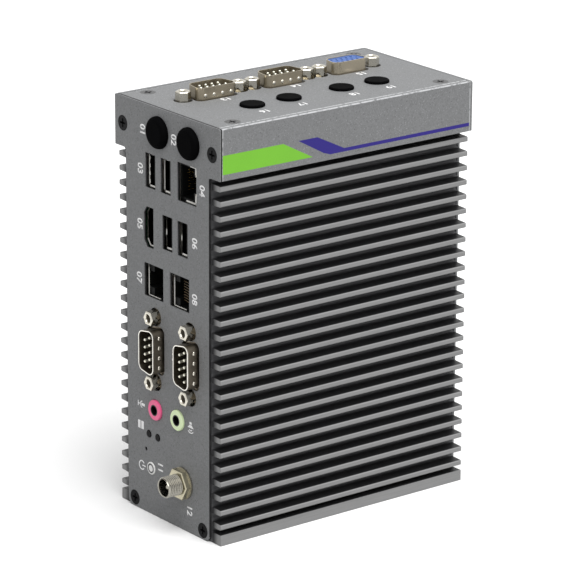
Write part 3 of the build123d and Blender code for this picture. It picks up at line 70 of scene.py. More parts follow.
# Middles of the ports in millimetres, as (x, z) on the port plate and (x, y) on the top plate
UPPER_SOCKETS = [(-10.2, 132.4), (-0.8, 132.4)]
LOWER_SOCKETS = [(0.1, 111.3), (9.4, 111.3)]
VIDEO_MOUTH = (-11.4, 103.7)
UPPER_JACK = (12.15, 132.6)
LOWER_JACKS = [(-8.45, 90.9), (7.4, 90.9)]
SERIAL_FRONT = [(-7.5, 65.3), (13.9, 65.3)]
SERIAL_TOP = [(-8.6, -31.9), (-8.6, -0.8)]
TOP_ROW = [*SERIAL_TOP, (-8.6, 30.3)]
SCREW_OFFSET = 24.99 / 2
MICROPHONE = (-7.6, 41.8)
SPEAKER = (6.2, 41.8)
POWER_BUTTON = (-10.6, 18.1)
INLET = (9.2, 18.3)

# Coloured rings as (inner, outer) radius in metres; an inner radius below 0 makes a full disc
# The jacks' dark disc is painted shade in their bores.
JACK_BORE_SHADE = [(-0.001, 0.0021)]
BUTTON_RINGS = [(-0.001, 0.0012), (0.00185, 0.004)]

# Bright folded tabs at the mouths, as (left, right, low, high) in millimetres from a mouth's middle
UPPER_SOCKET_TABS = [(-1.9, 0.9, -6.25, -5.65), (-1.5, 0.3, 5.8, 6.25), (-2.56, -2.32, -5.55, 5.55)]
LOWER_SOCKET_TABS = [(-1.9, 0.9, -6.25, -5.65), (-1.5, 0.3, 5.8, 6.25), (-2.56, -2.18, -1.1, 1.1)]
FIRST_SOCKET_TEETH = [(-2.32, -1.94, step - 0.7, step + 0.7) for step in (-4.4, -1.5, 1.5, 4.4)]
UPPER_JACK_TABS = [
    (-2.2, 3.9, -7.15, -6.5), (0.2, 3.3, 6.25, 6.5), (3.3, 3.9, -6.8, -4.0), (3.3, 3.9, 4.0, 6.8),
]
LOWER_JACK_TABS = [(-4.9, 2.4, -6.3, -6.02), (-5.0, -4.72, -6.0, 4.4)]
VIDEO_TAB = (-0.7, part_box("video_port_shell")[1].x / MM - 0.4 - VIDEO_MOUTH[0], 0.0, 0.4)
VIDEO_LIP = [(-0.9, 0.0), (-0.9, 0.45), (-2.2, 2.4), (-2.6, 2.4)]

# Contact strips on the sockets' tongues: their heights, length, start behind the port face and width
UPPER_STRIPS = ((-4.4, -3.0, -1.0, 1.0, 3.0, 4.4), 8.8, 1.0, 0.9)
LOWER_STRIPS = ((-3.5, -1.1, 1.1, 3.5), 6.6, 3.4, 0.6)

# Plain numbers beside the ports, placed as the ports are, with their tops to +X
FRONT_NUMBERS = [
    (-14.9, 146.9, "01"), (4.1, 147.2, "02"), (-16.5, 132.1, "03"), (21.2, 132.2, "04"),
    (-17.0, 111.1, "05"), (16.6, 111.6, "06"), (-17.6, 90.5, "07"), (16.5, 90.6, "08"),
    (-16.9, 65.3, "09"), (4.2, 65.3, "10"), (-5.1, 20.0, "11"), (13.1, 8.6, "12"),
]
TOP_NUMBERS = [
    (-1.3, -30.8, "13"), (-1.5, 1.4, "14"), (-1.2, 31.9, "15"),
    (20.6, -29.7, "16"), (20.6, -12.7, "17"), (20.6, 11.3, "18"), (20.6, 28.2, "19"),
]


def rectangle(left, right, low, high):
    """Corners of an upright rectangle."""
    return [(left, low), (right, low), (right, high), (left, high)]


# Marks beside the ports, in parts of their size: place, then patches by their corners, then arcs as
# (height of the middle, inner radius, outer radius, start and sweep in degrees)
MARKS = {
    "microphone": (
        (-16.8, 41.6),
        [
            rectangle(-0.10, 0.10, 0.0, 0.42),
            rectangle(-0.035, 0.035, -0.34, -0.15),
            rectangle(-0.2, 0.2, -0.42, -0.34),
        ],
        [(0.12, 0.20, 0.27, 180, 180)],
    ),
    "speaker": (
        (14.0, 41.1),
        [rectangle(-0.42, -0.24, -0.13, 0.13), [(-0.2, -0.13), (0.02, -0.36), (0.02, 0.36), (-0.2, 0.13)]],
        [(0.0, 0.18, 0.25, -50, 100), (0.0, 0.36, 0.43, -50, 100)],
    ),
    "drum": ((-17.1, 33.5), [rectangle(-0.3, 0.3, -0.36, -0.06), rectangle(-0.3, 0.3, 0.04, 0.34)], []),
    "power": ((-16.7, 17.6), [rectangle(-0.045, 0.045, 0.05, 0.45)], [(0.0, 0.28, 0.37, 125, 290)]),
}


def shade(red, green, blue):
    """Linear colour with alpha for a display colour from 0 to 255."""
    channels = []
    for value in (red / 255, green / 255, blue / 255):
        channels.append(value / 12.92 if value <= 0.04045 else ((value + 0.055) / 1.055) ** 2.4)
    return (*channels, 1.0)


def colour(name, description, red, green, blue):
    """Colour setting whose default is a display colour from 0 to 255."""
    default = shade(red, green, blue)
    return FloatVectorProperty(
        name=name, description=description, subtype="COLOR", size=4, min=0, max=1, default=default
    )


def length(name, description, default):
    """Length setting in metres."""
    return FloatProperty(name=name, description=description, default=default, unit="LENGTH")


class ComputerFinishSettings(bpy.types.PropertyGroup):
    coat_color: colour("Coat", "Powder coat of the plates and the header frame", 125, 126, 127)
    coat_grain: FloatProperty(
        name="Coat grain", description="Grains of the coat per metre", default=1700.0, min=100
    )
    # Rims: a painted highlight laid along the top edges of the cap and of its plate, where they catch the
    # light.
    rim_color: colour("Rims", "Rubbed edges of the cap and of its plate", 206, 207, 209)
    # Fin colours hold painted light and shade: the flanks' dark anodising is darkened further as painted
    # shade for the deep gaps, the root wall is painted lighter where light from the front reaches it, and the
    # tips and sawn ends are painted light where they catch the light.
    fin_anodising_and_shade: colour("Fins", "Anodised flanks of the fins", 30, 30, 31)
    fin_root_painted_light: colour("Fin roots", "Anodised wall between the fins", 92, 92, 94)
    fin_tip_painted_light: colour("Fin tips", "Rubbed metal at the tips of the fins", 140, 140, 140)
    # Tip fade and end fade set how far the tips' painted light reaches in; the sawn ends turn dark towards
    # the root as painted shade.
    tip_fade: length("Tip fade", "Depth over which a fin's flank turns light", 0.0005)
    end_fade: length("End fade", "Depth over which a fin's sawn end turns light", 0.0046)
    edge_round: length("Edge round", "Width of the rounding on sheet edges", 0.00014)


class ComputerPrintSettings(bpy.types.PropertyGroup):
    number_height: length("Number height", "Height of the printed numbers", 0.0043)
    mark_size: length("Mark size", "Size of the small marks", 0.0052)
    ink_thickness: length("Ink thickness", "How far the ink stands up", 0.00002)
    ink_color: colour("Ink", "Printed numbers and marks", 250, 250, 250)
    broad_stripe: colour("Broad stripe", "Stripe beside the port plate", 121, 192, 54)
    long_stripe: colour("Long stripe", "Stripe that runs back along the cap", 38, 26, 122)
    stripe_drop: length("Stripe drop", "From the cap's top to the stripes", 0.0097)
    stripe_height: length("Stripe height", "Height of the broad stripe", 0.0070)
    line_height: length("Line height", "Height of the long line", 0.0013)


class ComputerPortSettings(bpy.types.PropertyGroup):
    dimple_count: IntProperty(
        name="Dimples", description="Dimples on the longer side of a plug's shell", default=4
    )
    dimple_pitch: length("Dimple pitch", "Between two dimples", 0.0038)
    dimple_radius: length("Dimple radius", "Radius of a dimple", 0.0008)
    spring_width: length("Spring width", "Width of a socket's spring finger", 0.0018)
    spring_length: length("Spring length", "Length of a socket's spring finger", 0.0070)
    metal_thickness: length("Sheet thickness", "Metal of springs and contacts", 0.00018)
    thread_pitch: length("Thread pitch", "Pitch on the inlet's barrel", 0.00075)
    thread_depth: length("Thread depth", "Depth of the inlet's thread", 0.00035)


class ComputerStageSettings(bpy.types.PropertyGroup):
    floor_size: length("Floor size", "Side of the floor", 40.0)
    floor_color: colour("Floor", "Pale floor", 255, 255, 255)
    key_strength: FloatProperty(
        name="Key light", description="Strength of the soft overhead light", default=3.1
    )
    sky_strength: FloatProperty(
        name="Fill light", description="Strength of the light from all round", default=0.5
    )


# Shader groups


def feed(tree, socket, value):
    """Links an input to a socket, or sets a plain value on it."""
    if isinstance(value, bpy.types.NodeSocket):
        tree.links.new(value, socket)
    else:
        socket.default_value = value


def calculate(tree, operation, first, second=0.0, clamp=False):
    """Math node between sockets or plain numbers; gives its result."""
    node = tree.nodes.new("ShaderNodeMath")
    node.operation = operation
    node.use_clamp = clamp
    feed(tree, node.inputs[0], first)
    feed(tree, node.inputs[1], second)
    return node.outputs[0]


def multiply(tree, first, second, clamp=False):
    """Product of two sockets or numbers."""
    return calculate(tree, "MULTIPLY", first, second, clamp)


def add(tree, first, second, clamp=False):
    """Sum of two sockets or numbers."""
    return calculate(tree, "ADD", first, second, clamp)


def swing(tree, value, amount):
    """How far a noise value lies from its middle, times an amount."""
    return multiply(tree, calculate(tree, "SUBTRACT", value, 0.5), amount)


def ramp_between(tree, value, low, high):
    """Smooth step from 0 at low to 1 at high."""
    node = tree.nodes.new("ShaderNodeMapRange")
    node.interpolation_type = "SMOOTHSTEP"
    for socket, source in zip(node.inputs, (value, low, high)):
        feed(tree, socket, source)
    return node.outputs["Result"]


def mix_colours(tree, factor, first, second):
    """Mix between two colours, each a socket or a plain colour."""
    node = tree.nodes.new("ShaderNodeMix")
    node.data_type = "RGBA"
    feed(tree, node.inputs["Factor"], factor)
    feed(tree, node.inputs[6], first)
    feed(tree, node.inputs[7], second)
    return node.outputs[2]


def noise(tree, vector, scale, roughness=0.55):
    """Noise texture on a vector; gives its value."""
    node = tree.nodes.new("ShaderNodeTexNoise")
    node.inputs["Detail"].default_value = 3.0
    node.inputs["Roughness"].default_value = roughness
    feed(tree, node.inputs["Vector"], vector)
    feed(tree, node.inputs["Scale"], scale)
    return node.outputs["Fac"]


def axes(tree, vector):
    """X, Y and Z of a vector."""
    split = tree.nodes.new("ShaderNodeSeparateXYZ")
    tree.links.new(vector, split.inputs[0])
    return tuple(split.outputs)


def new_group(name, inputs, outputs):
    """Empty shader group. A socket's default gives its kind: a number, a colour, or None for a vector."""
    kinds = {float: "NodeSocketFloat", tuple: "NodeSocketColor", type(None): "NodeSocketVector"}
    group = bpy.data.node_groups.new(name, "ShaderNodeTree")
    for direction, sockets in (("INPUT", inputs), ("OUTPUT", outputs)):
        for label, value in sockets.items():
            kind = kinds[type(value)]
            socket = group.interface.new_socket(name=label, in_out=direction, socket_type=kind)
            if value is not None:
                socket.default_value = value
    given = group.nodes.new("NodeGroupInput")
    result = group.nodes.new("NodeGroupOutput")
    return group, given.outputs, result.inputs


def surface_grain_group():
    """Fine grain over a broad, weak mottling: a varied colour, roughness and height."""
    grey = (0.5, 0.5, 0.5, 1.0)
    group, given, result = new_group(
        "surface_grain",
        {"Vector": None, "Color": grey, "Scale": 1000.0, "Contrast": 0.3, "Roughness": 0.5},
        {"Color": grey, "Roughness": 0.5, "Height": 0.5},
    )
    fine = noise(group, given["Vector"], given["Scale"], 0.6)
    broad = noise(group, given["Vector"], multiply(group, given["Scale"], 0.03))
    change = add(group, swing(group, fine, given["Contrast"]), swing(group, broad, 0.16))
    scaled = group.nodes.new("ShaderNodeVectorMath")
    scaled.operation = "SCALE"
    group.links.new(given["Color"], scaled.inputs[0])
    group.links.new(add(group, change, 1.0), scaled.inputs["Scale"])
    rougher = add(group, swing(group, broad, 0.25), swing(group, fine, 0.12))
    group.links.new(scaled.outputs[0], result["Color"])
    group.links.new(add(group, rougher, given["Roughness"], clamp=True), result["Roughness"])
    group.links.new(fine, result["Height"])


def speck_group():
    """Mask of small separate specks in a coat."""
    group, given, result = new_group(
        "specks", {"Vector": None, "Scale": 1500.0, "Size": 0.2, "Share": 0.4}, {"Mask": 0.0}
    )
    cells = group.nodes.new("ShaderNodeTexVoronoi")
    group.links.new(given["Vector"], cells.inputs["Vector"])
    group.links.new(given["Scale"], cells.inputs["Scale"])
    split = group.nodes.new("ShaderNodeSeparateColor")
    group.links.new(cells.outputs["Color"], split.inputs[0])
    near = calculate(group, "LESS_THAN", cells.outputs["Distance"], given["Size"])
    chosen = calculate(group, "LESS_THAN", split.outputs[0], given["Share"])
    mask = multiply(group, multiply(group, near, chosen), split.outputs[1])
    group.links.new(mask, result["Mask"])


def ring_group():
    """Mask that is 1 between two radii round the Y axis of a centred vector."""
    group, given, result = new_group(
        "ring_mask", {"Vector": None, "Inner": 0.0, "Outer": 0.001, "Blur": 0.00006}, {"Mask": 0.0}
    )
    across, _, upright = axes(group, given["Vector"])
    squares = add(group, multiply(group, across, across), multiply(group, upright, upright))
    radius = calculate(group, "SQRT", squares)
    past = []
    for edge in ("Inner", "Outer"):
        blurred = add(group, given[edge], given["Blur"])
        past.append(ramp_between(group, radius, given[edge], blurred))
    group.links.new(calculate(group, "SUBTRACT", *past, clamp=True), result["Mask"])


def side_group():
    """Mask that rises with the distance from the middle plane, on both sides."""
    group, given, result = new_group(
        "side_mask", {"Vector": None, "Start": 0.0, "End": 0.01}, {"Mask": 0.0}
    )
    distance = calculate(group, "ABSOLUTE", axes(group, given["Vector"])[0])
    mask = ramp_between(group, distance, given["Start"], given["End"])
    group.links.new(mask, result["Mask"])


def place_group(tree, name, **values):
    """Places a shader group in a material and sets its inputs; gives its outputs."""
    node = tree.nodes.new("ShaderNodeGroup")
    node.node_tree = bpy.data.node_groups[name]
    for label, value in values.items():
        feed(tree, node.inputs[label.title()], value)
    return node.outputs


def lay_grain(tree, vector, color, scale, contrast, roughness):
    """Surface grain in a material; gives its varied colour, roughness and height."""
    return place_group(
        tree, "surface_grain", vector=vector, color=color, scale=scale, contrast=contrast, roughness=roughness
    )


def side_mask(tree, vector, start, end):
    """Mask that rises between two distances from the middle plane."""
    return place_group(tree, "side_mask", vector=vector, start=start, end=end)["Mask"]


# Materials, each kept by its name


FINISHES = {}

# Finishes of single nodes, then those of slots that go by another name than the slot's own
NODE_FINISHES = {
    "port_plate": "port_plate_coat",
    "header_frame": "header_frame_coat",
    "top_plate": "top_plate_coat",
    # The top screws are painted lighter than the black screws elsewhere, as painted light.
    "top_screws": "glossy_lit_black_screws",
    "power_inlet_barrel": "dark_nickel",
    "power_inlet_washer": "dark_nickel",
    "power_inlet_pin": "dark_nickel",
    "usb_shells": "socket_steel",
    "network_shields": "socket_steel",
    "video_port_shell": "socket_steel",
    "serial_shells_front": "plug_steel",
    # The top shells take lighter steels than the front plug shells, as painted light from above.
    "serial_shells_top": "top_lit_warm_steel",
    "monitor_port_shell": "bright_steel",
    "serial_pins_front": "pale_pins",
    "serial_pins_top": "pale_pins",
}
SLOT_FINISHES = {
    "pink_plastic": "pink_jack",
    "green_plastic": "green_jack",
    "clear_plastic": "smoked_lens",
    "white_plastic": "lit_button",
}

# Plain grained finishes: colour, roughness, grains per metre, contrast, and what differs from a dull plastic
METAL = {"metallic": 1.0}
DRAWN_BACK = {"metallic": 1.0, "stretch": (1, 0.04, 1)}
DRAWN_UP = {"metallic": 1.0, "stretch": (1, 1, 0.05)}
GRAINED_FINISHES = {
    "black_screws": ((15, 15, 16), 0.4, 2500, 0.3, {"specular": 0.06}),
    # Painted light: the top screws are a lighter black than the others, for the light they catch on top; they
    # are also glossier.
    "glossy_lit_black_screws": ((34, 34, 35), 0.3, 2500, 0.3, {}),
    "inner_screws": ((196, 196, 200), 0.3, 2500, 0.2, METAL),
    "black_rubber": ((10, 10, 11), 0.5, 2200, 0.4, {"specular": 0.004, "bump": 0.3}),
    "port_steel": ((166, 157, 142), 0.3, 1800, 0.2, DRAWN_BACK),
    "dark_nickel": ((158, 155, 146), 0.28, 2200, 0.3, METAL),
    "tin_plate": ((248, 246, 240), 0.4, 2200, 0.12, {"metallic": 0.1}),
    # Painted shade: the network jack's wires are a darkened gold for the shade deep in the jack.
    "shaded_wire_gold": ((84, 66, 40), 0.4, 2500, 0.15, {"metallic": 0.2}),
    # Painted shade: the screws' threads are a dark steel for the shade inside their bores.
    "shaded_thread_steel": ((66, 60, 48), 0.35, 2500, 0.3, {"metallic": 0.6}),
    # Painted light: the top plug shells are lighter steels than the front ones, for the light from above.
    "top_lit_warm_steel": ((172, 162, 142), 0.32, 1800, 0.2, {"metallic": 0.9}),
    "bright_steel": ((188, 178, 158), 0.32, 1800, 0.2, {"metallic": 0.85}),
    "black_plastic": ((13, 14, 14), 0.45, 2500, 0.3, {"specular": 0.12}),
    "contact_gold": ((222, 184, 108), 0.24, 2500, 0.15, DRAWN_BACK),
    "pale_pins": ((226, 224, 208), 0.3, 2500, 0.1, {**DRAWN_BACK, "metallic": 0.8}),
    "nickel": ((204, 200, 188), 0.22, 2200, 0.16, DRAWN_BACK),
    "nut_brass": ((186, 180, 156), 0.3, 2200, 0.25, DRAWN_BACK),
    "blue_plastic": ((56, 96, 168), 0.4, 2500, 0.2, {}),
    "smoked_lens": ((6, 6, 7), 0.2, 2500, 0.1, {"specular": 0.06, "bump": 0.03}),
    "processor_lid": ((190, 190, 192), 0.32, 1500, 0.2, DRAWN_UP),
    "bare_aluminium": ((196, 198, 200), 0.38, 1500, 0.25, DRAWN_UP),
    "pad_grey": ((150, 152, 156), 0.75, 1500, 0.25, {"bump": 0.3}),
    "cell_steel": ((205, 205, 205), 0.28, 1500, 0.2, DRAWN_UP),
    "bracket_metal": ((168, 170, 172), 0.36, 1400, 0.3, DRAWN_UP),
    "latch_metal": ((190, 190, 186), 0.3, 1400, 0.3, DRAWN_UP),
    "spring_steel": ((186, 187, 190), 0.26, 1800, 0.2, METAL),
}


def new_material(name, metallic=0.0, specular=0.5):
    """Material with a plain shader; gives its tree, its shader and the object coordinates."""
    material = bpy.data.materials.new(name)
    FINISHES[name] = material
    material.use_nodes = True
    tree = material.node_tree
    shader = tree.nodes["Principled BSDF"]
    shader.inputs["Metallic"].default_value = metallic
    shader.inputs["Specular IOR Level"].default_value = specular
    return tree, shader, tree.nodes.new("ShaderNodeTexCoord").outputs["Object"]


def mapped(tree, vector, location=(0, 0, 0), scale=(1, 1, 1), turn=0.0):
    """Vector moved so that a place becomes its origin, and stretched or turned about Z."""
    node = tree.nodes.new("ShaderNodeMapping")
    tree.links.new(vector, node.inputs["Vector"])
    node.inputs["Location"].default_value = [-place * factor for place, factor in zip(location, scale)]
    node.inputs["Rotation"].default_value = (0, 0, turn)
    node.inputs["Scale"].default_value = scale
    return node.outputs["Vector"]


def feed_shader(tree, shader, color, grain, strength, distance, height=None):
    """Feeds a colour, a grain's roughness and the bump of its height, or of another, to the shader."""
    bump = tree.nodes.new("ShaderNodeBump")
    bump.inputs["Strength"].default_value = strength
    bump.inputs["Distance"].default_value = distance
    tree.links.new(grain["Height"] if height is None else height, bump.inputs["Height"])
    tree.links.new(bump.outputs["Normal"], shader.inputs["Normal"])
    tree.links.new(color, shader.inputs["Base Color"])
    tree.links.new(grain["Roughness"], shader.inputs["Roughness"])


def grained(
    name, color, roughness, scale, contrast, stretch=(1, 1, 1), metallic=0.0, specular=0.5, bump=0.15
):
    """Moulded, cast or drawn surface: one colour broken by grain, drawn out along one axis by stretch."""
    tree, shader, coordinates = new_material(name, metallic, specular)
    vector = mapped(tree, coordinates, scale=stretch)
    grain = lay_grain(tree, vector, color, scale, contrast, roughness)
    feed_shader(tree, shader, grain["Color"], grain, bump, 0.00004)


def powder_coat(name, settings, painted_edge_shade=False, rim=None):
    """Grey powder coat with fine specks, with painted shade on the port plate's cut sides and the walls of
    its openings, or a painted highlight along a rim.
    """
    tree, shader, coordinates = new_material(name, specular=0.28)
    scale = settings.coat_grain
    grain = lay_grain(tree, coordinates, settings.coat_color, scale, 0.75, 0.56)
    bright = place_group(tree, "specks", vector=coordinates, scale=scale * 0.9, size=0.34, share=0.35)
    moved = mapped(tree, coordinates, location=(0.01, 0.02, 0.03))
    dark = place_group(tree, "specks", vector=moved, scale=scale * 0.8, size=0.36, share=0.3)
    color = mix_colours(tree, multiply(tree, bright["Mask"], 0.34), grain["Color"], shade(190, 191, 193))
    color = mix_colours(tree, multiply(tree, dark["Mask"], 0.5), color, shade(78, 79, 82))
    # Painted shade: the port plate's side edges below the cap and the walls of its openings take the fins'
    # dark colour, for the shade that falls there.
    if painted_edge_shade:
        _, depth, height = axes(tree, coordinates)
        core_side = CHASSIS_SIDE - 0.0057
        side = side_mask(tree, coordinates, core_side, core_side + 0.00004)
        below_cap = calculate(tree, "LESS_THAN", height, CAP_LOW - 0.0002)
        color = mix_colours(tree, multiply(tree, side, below_cap), color, settings.fin_anodising_and_shade)
        painted_opening_shade = ramp_between(tree, depth, PLATE_FRONT + 0.00025, PLATE_FRONT + 0.0005)
        color = mix_colours(tree, painted_opening_shade, color, settings.fin_anodising_and_shade)
    # Painted highlight along the cap's and top plate's top edges, broken up by noise.
    if rim:
        height = axes(tree, coordinates)[2]
        side = side_mask(tree, coordinates, rim - 0.0007, rim - 0.0004)
        turned = mapped(tree, coordinates, turn=math.pi / 2)
        end = side_mask(tree, turned, CAP_BACK - 0.0005, CAP_BACK - 0.0003)
        high = calculate(tree, "GREATER_THAN", height, CAP_HIGH - 0.0004)
        edge = multiply(tree, side, calculate(tree, "MAXIMUM", end, high))
        highlight_breaks = ramp_between(tree, noise(tree, coordinates, 700.0), 0.3, 0.55)
        painted_rim_highlight = multiply(tree, edge, multiply(tree, highlight_breaks, 0.7))
        color = mix_colours(tree, painted_rim_highlight, color, settings.rim_color)
    feed_shader(tree, shader, color, grain, 0.35, 0.00006)


def anodised_fins(name, settings):
    """Black anodised extrusion with lines along its length, with painted light on the fins' tips, sawn ends
    and root wall, and painted shade on the flanks.
    """
    tree, shader, coordinates = new_material(name, specular=0.3)
    lines = mapped(tree, coordinates, scale=(1, 0.03, 1))
    dark = lay_grain(tree, lines, settings.fin_anodising_and_shade, 1400.0, 0.5, 0.5)
    light = lay_grain(tree, lines, settings.fin_tip_painted_light, 2200.0, 0.35, 0.42)
    # Painted light on the tips and on the sawn back ends, which fade to painted shade towards the root.
    tip = side_mask(tree, coordinates, CHASSIS_SIDE - settings.tip_fade, CHASSIS_SIDE - 0.0002)
    sawn = side_mask(tree, coordinates, CHASSIS_SIDE - settings.end_fade, CHASSIS_SIDE - 0.0012)
    flank = side_mask(tree, coordinates, CHASSIS_SIDE - 0.0058, CHASSIS_SIDE - 0.0046)
    turned = mapped(tree, coordinates, turn=math.pi / 2)
    end = side_mask(tree, turned, CHASSIS_BACK - 0.0002, CHASSIS_BACK - 0.00004)
    painted_tip_light = calculate(tree, "MAXIMUM", tip, multiply(tree, sawn, end))
    patchy = add(tree, swing(tree, noise(tree, lines, 300.0), 0.3), 1.0)
    # Painted light on the root wall between the fins, painted shade on the flanks.
    painted_depth_shading = mix_colours(tree, flank, settings.fin_root_painted_light, dark["Color"])
    color = mix_colours(tree, multiply(tree, painted_tip_light, patchy, clamp=True), painted_depth_shading, light["Color"])
    feed_shader(tree, shader, color, light, 0.25, 0.00005, dark["Height"])


def ringed_plastic(name, base, contrast, middle, rings, ring_color):
    """Moulded plastic with rings of another colour round a port's middle, each as (inner, outer); on the
    jacks the dark disc is painted shade in the bore.
    """
    tree, shader, coordinates = new_material(name)
    grain = lay_grain(tree, coordinates, shade(*base), 2500.0, contrast, 0.35)
    centred = mapped(tree, coordinates, location=(middle[0] * MM, 0, middle[1] * MM))
    color = grain["Color"]
    for inner, outer in rings:
        ring = place_group(tree, "ring_mask", vector=centred, inner=inner, outer=outer, blur=0.0001)
        color = mix_colours(tree, ring["Mask"], color, shade(*ring_color))
    feed_shader(tree, shader, color, grain, 0.1, 0.00003)


def shell_steel(name, lip, inner_shade, front, depth):
    """Steel shell in its own bright colour at the front lip, with painted shade farther in."""
    tree, shader, coordinates = new_material(name, metallic=1.0)
    painted_depth_shading = ramp_between(tree, axes(tree, coordinates)[1], front + depth, front + depth * 2)
    color = mix_colours(tree, painted_depth_shading, shade(*lip), shade(*inner_shade))
    grain = lay_grain(tree, coordinates, color, 2000.0, 0.2, 0.32)
    feed_shader(tree, shader, grain["Color"], grain, 0.12, 0.00003)


def circuit_board(name):
    """Green solder mask with a faint net of copper lines and tinned points."""
    tree, shader, coordinates = new_material(name)
    grain = lay_grain(tree, coordinates, shade(24, 84, 52), 900.0, 0.3, 0.3)
    lines = tree.nodes.new("ShaderNodeTexVoronoi")
    lines.feature = "DISTANCE_TO_EDGE"
    lines.inputs["Scale"].default_value = 260.0
    tree.links.new(coordinates, lines.inputs["Vector"])
    trace = multiply(tree, calculate(tree, "LESS_THAN", lines.outputs["Distance"], 0.05), 0.45)
    color = mix_colours(tree, trace, grain["Color"], shade(70, 140, 84))
    points = place_group(tree, "specks", vector=coordinates, scale=420.0, size=0.2, share=0.5)
    color = mix_colours(tree, points["Mask"], color, shade(205, 205, 200))
    feed_shader(tree, shader, color, grain, 0.2, 0.00004, lines.outputs["Distance"])


def build_finishes(settings):
    """Makes the shader groups, then every finish of the record and of single nodes."""
    for build in (surface_grain_group, speck_group, ring_group, side_group):
        build()
    anodised_fins("fin_anodising", settings)
    powder_coat("plate_coat", settings)
    # The port plate's coat carries painted shade on its side edges and in its openings.
    powder_coat("port_plate_coat", settings, painted_edge_shade=True)
    # The cap's and top plate's coats carry a painted highlight along their top edges.
    powder_coat("header_frame_coat", settings, rim=CAP_SIDE)
    powder_coat("top_plate_coat", settings, rim=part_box("top_plate")[1].x)
    # The shells' inner colour is painted shade inside the mouths and along the front plug shells' sides.
    shell_steel("socket_steel", (220, 216, 206), (24, 23, 22), PORT_FACE, 0.00018)
    shell_steel("plug_steel", (236, 233, 224), (142, 133, 119), PLUG_FACE, 0.0002)
    # Pink and green jacks: the dark disc in the middle is painted shade in the bore.
    ringed_plastic("pink_jack", (255, 104, 156), 0.15, MICROPHONE, JACK_BORE_SHADE, (14, 14, 15))
    ringed_plastic("green_jack", (236, 255, 204), 0.15, SPEAKER, JACK_BORE_SHADE, (14, 14, 15))
    ringed_plastic("lit_button", (48, 48, 52), 0.2, POWER_BUTTON, BUTTON_RINGS, (238, 238, 236))
    circuit_board("board_green")
    for name, (color, roughness, scale, contrast, options) in GRAINED_FINISHES.items():
        grained(name, shade(*color), roughness, scale, contrast, **options)


# Mesh helpers


def new_object(name, data):
    """Object in the scene that holds the given mesh, text, light or camera."""
    holder = bpy.data.objects.new(name, data)
    bpy.context.scene.collection.objects.link(holder)
    return holder


def mesh_object(work, name, finish):
    """Turns a bmesh into an object with a finish."""
    mesh = bpy.data.meshes.new(name)
    work.to_mesh(mesh)
    work.free()
    mesh.materials.append(FINISHES[finish])
    return new_object(name, mesh)


def finish_piece(work, name, finish, smooth_angle=None):
    """Turns a bmesh into a finished piece that rides on the housing."""
    piece = mesh_object(work, name, finish)
    if smooth_angle is not None:
        piece.data.shade_smooth()
        piece.data.set_sharp_from_angle(angle=math.radians(smooth_angle))
    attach(piece, "housing")
    return piece


def merge_doubles(work):
    """Joins points that lie on each other."""
    bmesh.ops.remove_doubles(work, verts=work.verts, dist=0.000001)


def tidy_mesh(work):
    """Joins doubled points, then turns the faces of closed shells outwards."""
    merge_doubles(work)
    bmesh.ops.recalc_face_normals(work, faces=work.faces)


def merged_copy(name):
    """Bmesh of a node's solid with its loose triangles joined."""
    work = bmesh.new()
    work.from_mesh(frame["nodes"][name].data)
    merge_doubles(work)
    return work


def folded_edges(work, angle):
    """Edges between two faces that meet at more than an angle in degrees."""
    fold = math.radians(angle)
    return [edge for edge in work.edges if edge.is_manifold and edge.calc_face_angle() > fold]


def bevel_edges(work, edges, width, segments):
    """Bevels edges; gives the new faces."""
    bevelled = bmesh.ops.bevel(
        work, geom=edges, offset=width, offset_type="OFFSET", affect="EDGES", segments=segments,
        profile=0.5, material=-1, clamp_overlap=True,
    )
    return bevelled["faces"]


def facing(origin, along, out):
    """Placing matrix with its X axis along one direction and its Z axis along another."""
    along, out = Vector(along), Vector(out)
    turn = Matrix((along, out.cross(along), out)).transposed()
    return Matrix.Translation(origin) @ turn.to_4x4()


def front_place(x, z):
    """Drawing plane on the port plate: it reads towards the floor, with its top to +X."""
    return facing((x * MM, PLATE_FRONT, z * MM), (0, 0, -1), (0, -1, 0))


def top_place(x, y):
    """Drawing plane on the top plate: it reads towards the front, with its top to +X."""
    return facing((x * MM, y * MM, PLATE_TOP), (0, -1, 0), (0, 0, 1))


def add_number(work, digits, height, place):
    """Adds one printed number to a bmesh at a drawing plane."""
    text = bpy.data.curves.new("number", "FONT")
    text.body = digits
    text.size = height
    text.align_x = text.align_y = "CENTER"
    text.resolution_u = 3
    text.offset = height * 0.026
    holder = new_object("number", text)
    view = bpy.context.evaluated_depsgraph_get()
    mesh = bpy.data.meshes.new_from_object(holder.evaluated_get(view))
    mesh.transform(place)
    work.from_mesh(mesh)
    bpy.data.objects.remove(holder)
    bpy.data.meshes.remove(mesh)


def add_patch(work, corners, place):
    """Adds one flat patch with the given corners on a drawing plane."""
    return work.faces.new([work.verts.new(place @ Vector((u, v, 0))) for u, v in corners])


def add_arc(work, height, inner, outer, start, sweep, place):
    """Adds a flat arc between two radii on a drawing plane, from a start angle in degrees."""
    angle = math.radians(start)
    direction = Vector((math.cos(angle), math.sin(angle), 0))
    middle = Vector((0, height, 0))
    ends = [work.verts.new(place @ (middle + direction * radius)) for radius in (inner, outer)]
    axis = (place.to_3x3() @ Vector((0, 0, 1))).normalized()
    bmesh.ops.spin(
        work, geom=[*ends, work.edges.new(ends)], cent=place @ middle, axis=axis, angle=math.radians(sweep),
        steps=max(4, sweep // 18),
    )


def spin_ring(work, profile, place, steps):
    """Spins a closed profile of (radius, depth) points round the Z axis of a placing matrix."""
    points = [work.verts.new(place @ Vector((radius, 0, depth))) for radius, depth in profile]
    edges = [work.edges.new(pair) for pair in zip(points, points[1:] + points[:1])]
    axis = place.to_3x3() @ Vector((0, 0, 1))
    bmesh.ops.spin(
        work, geom=points + edges, cent=place.translation, axis=axis, angle=math.tau, steps=steps,
        use_merge=True,
    )


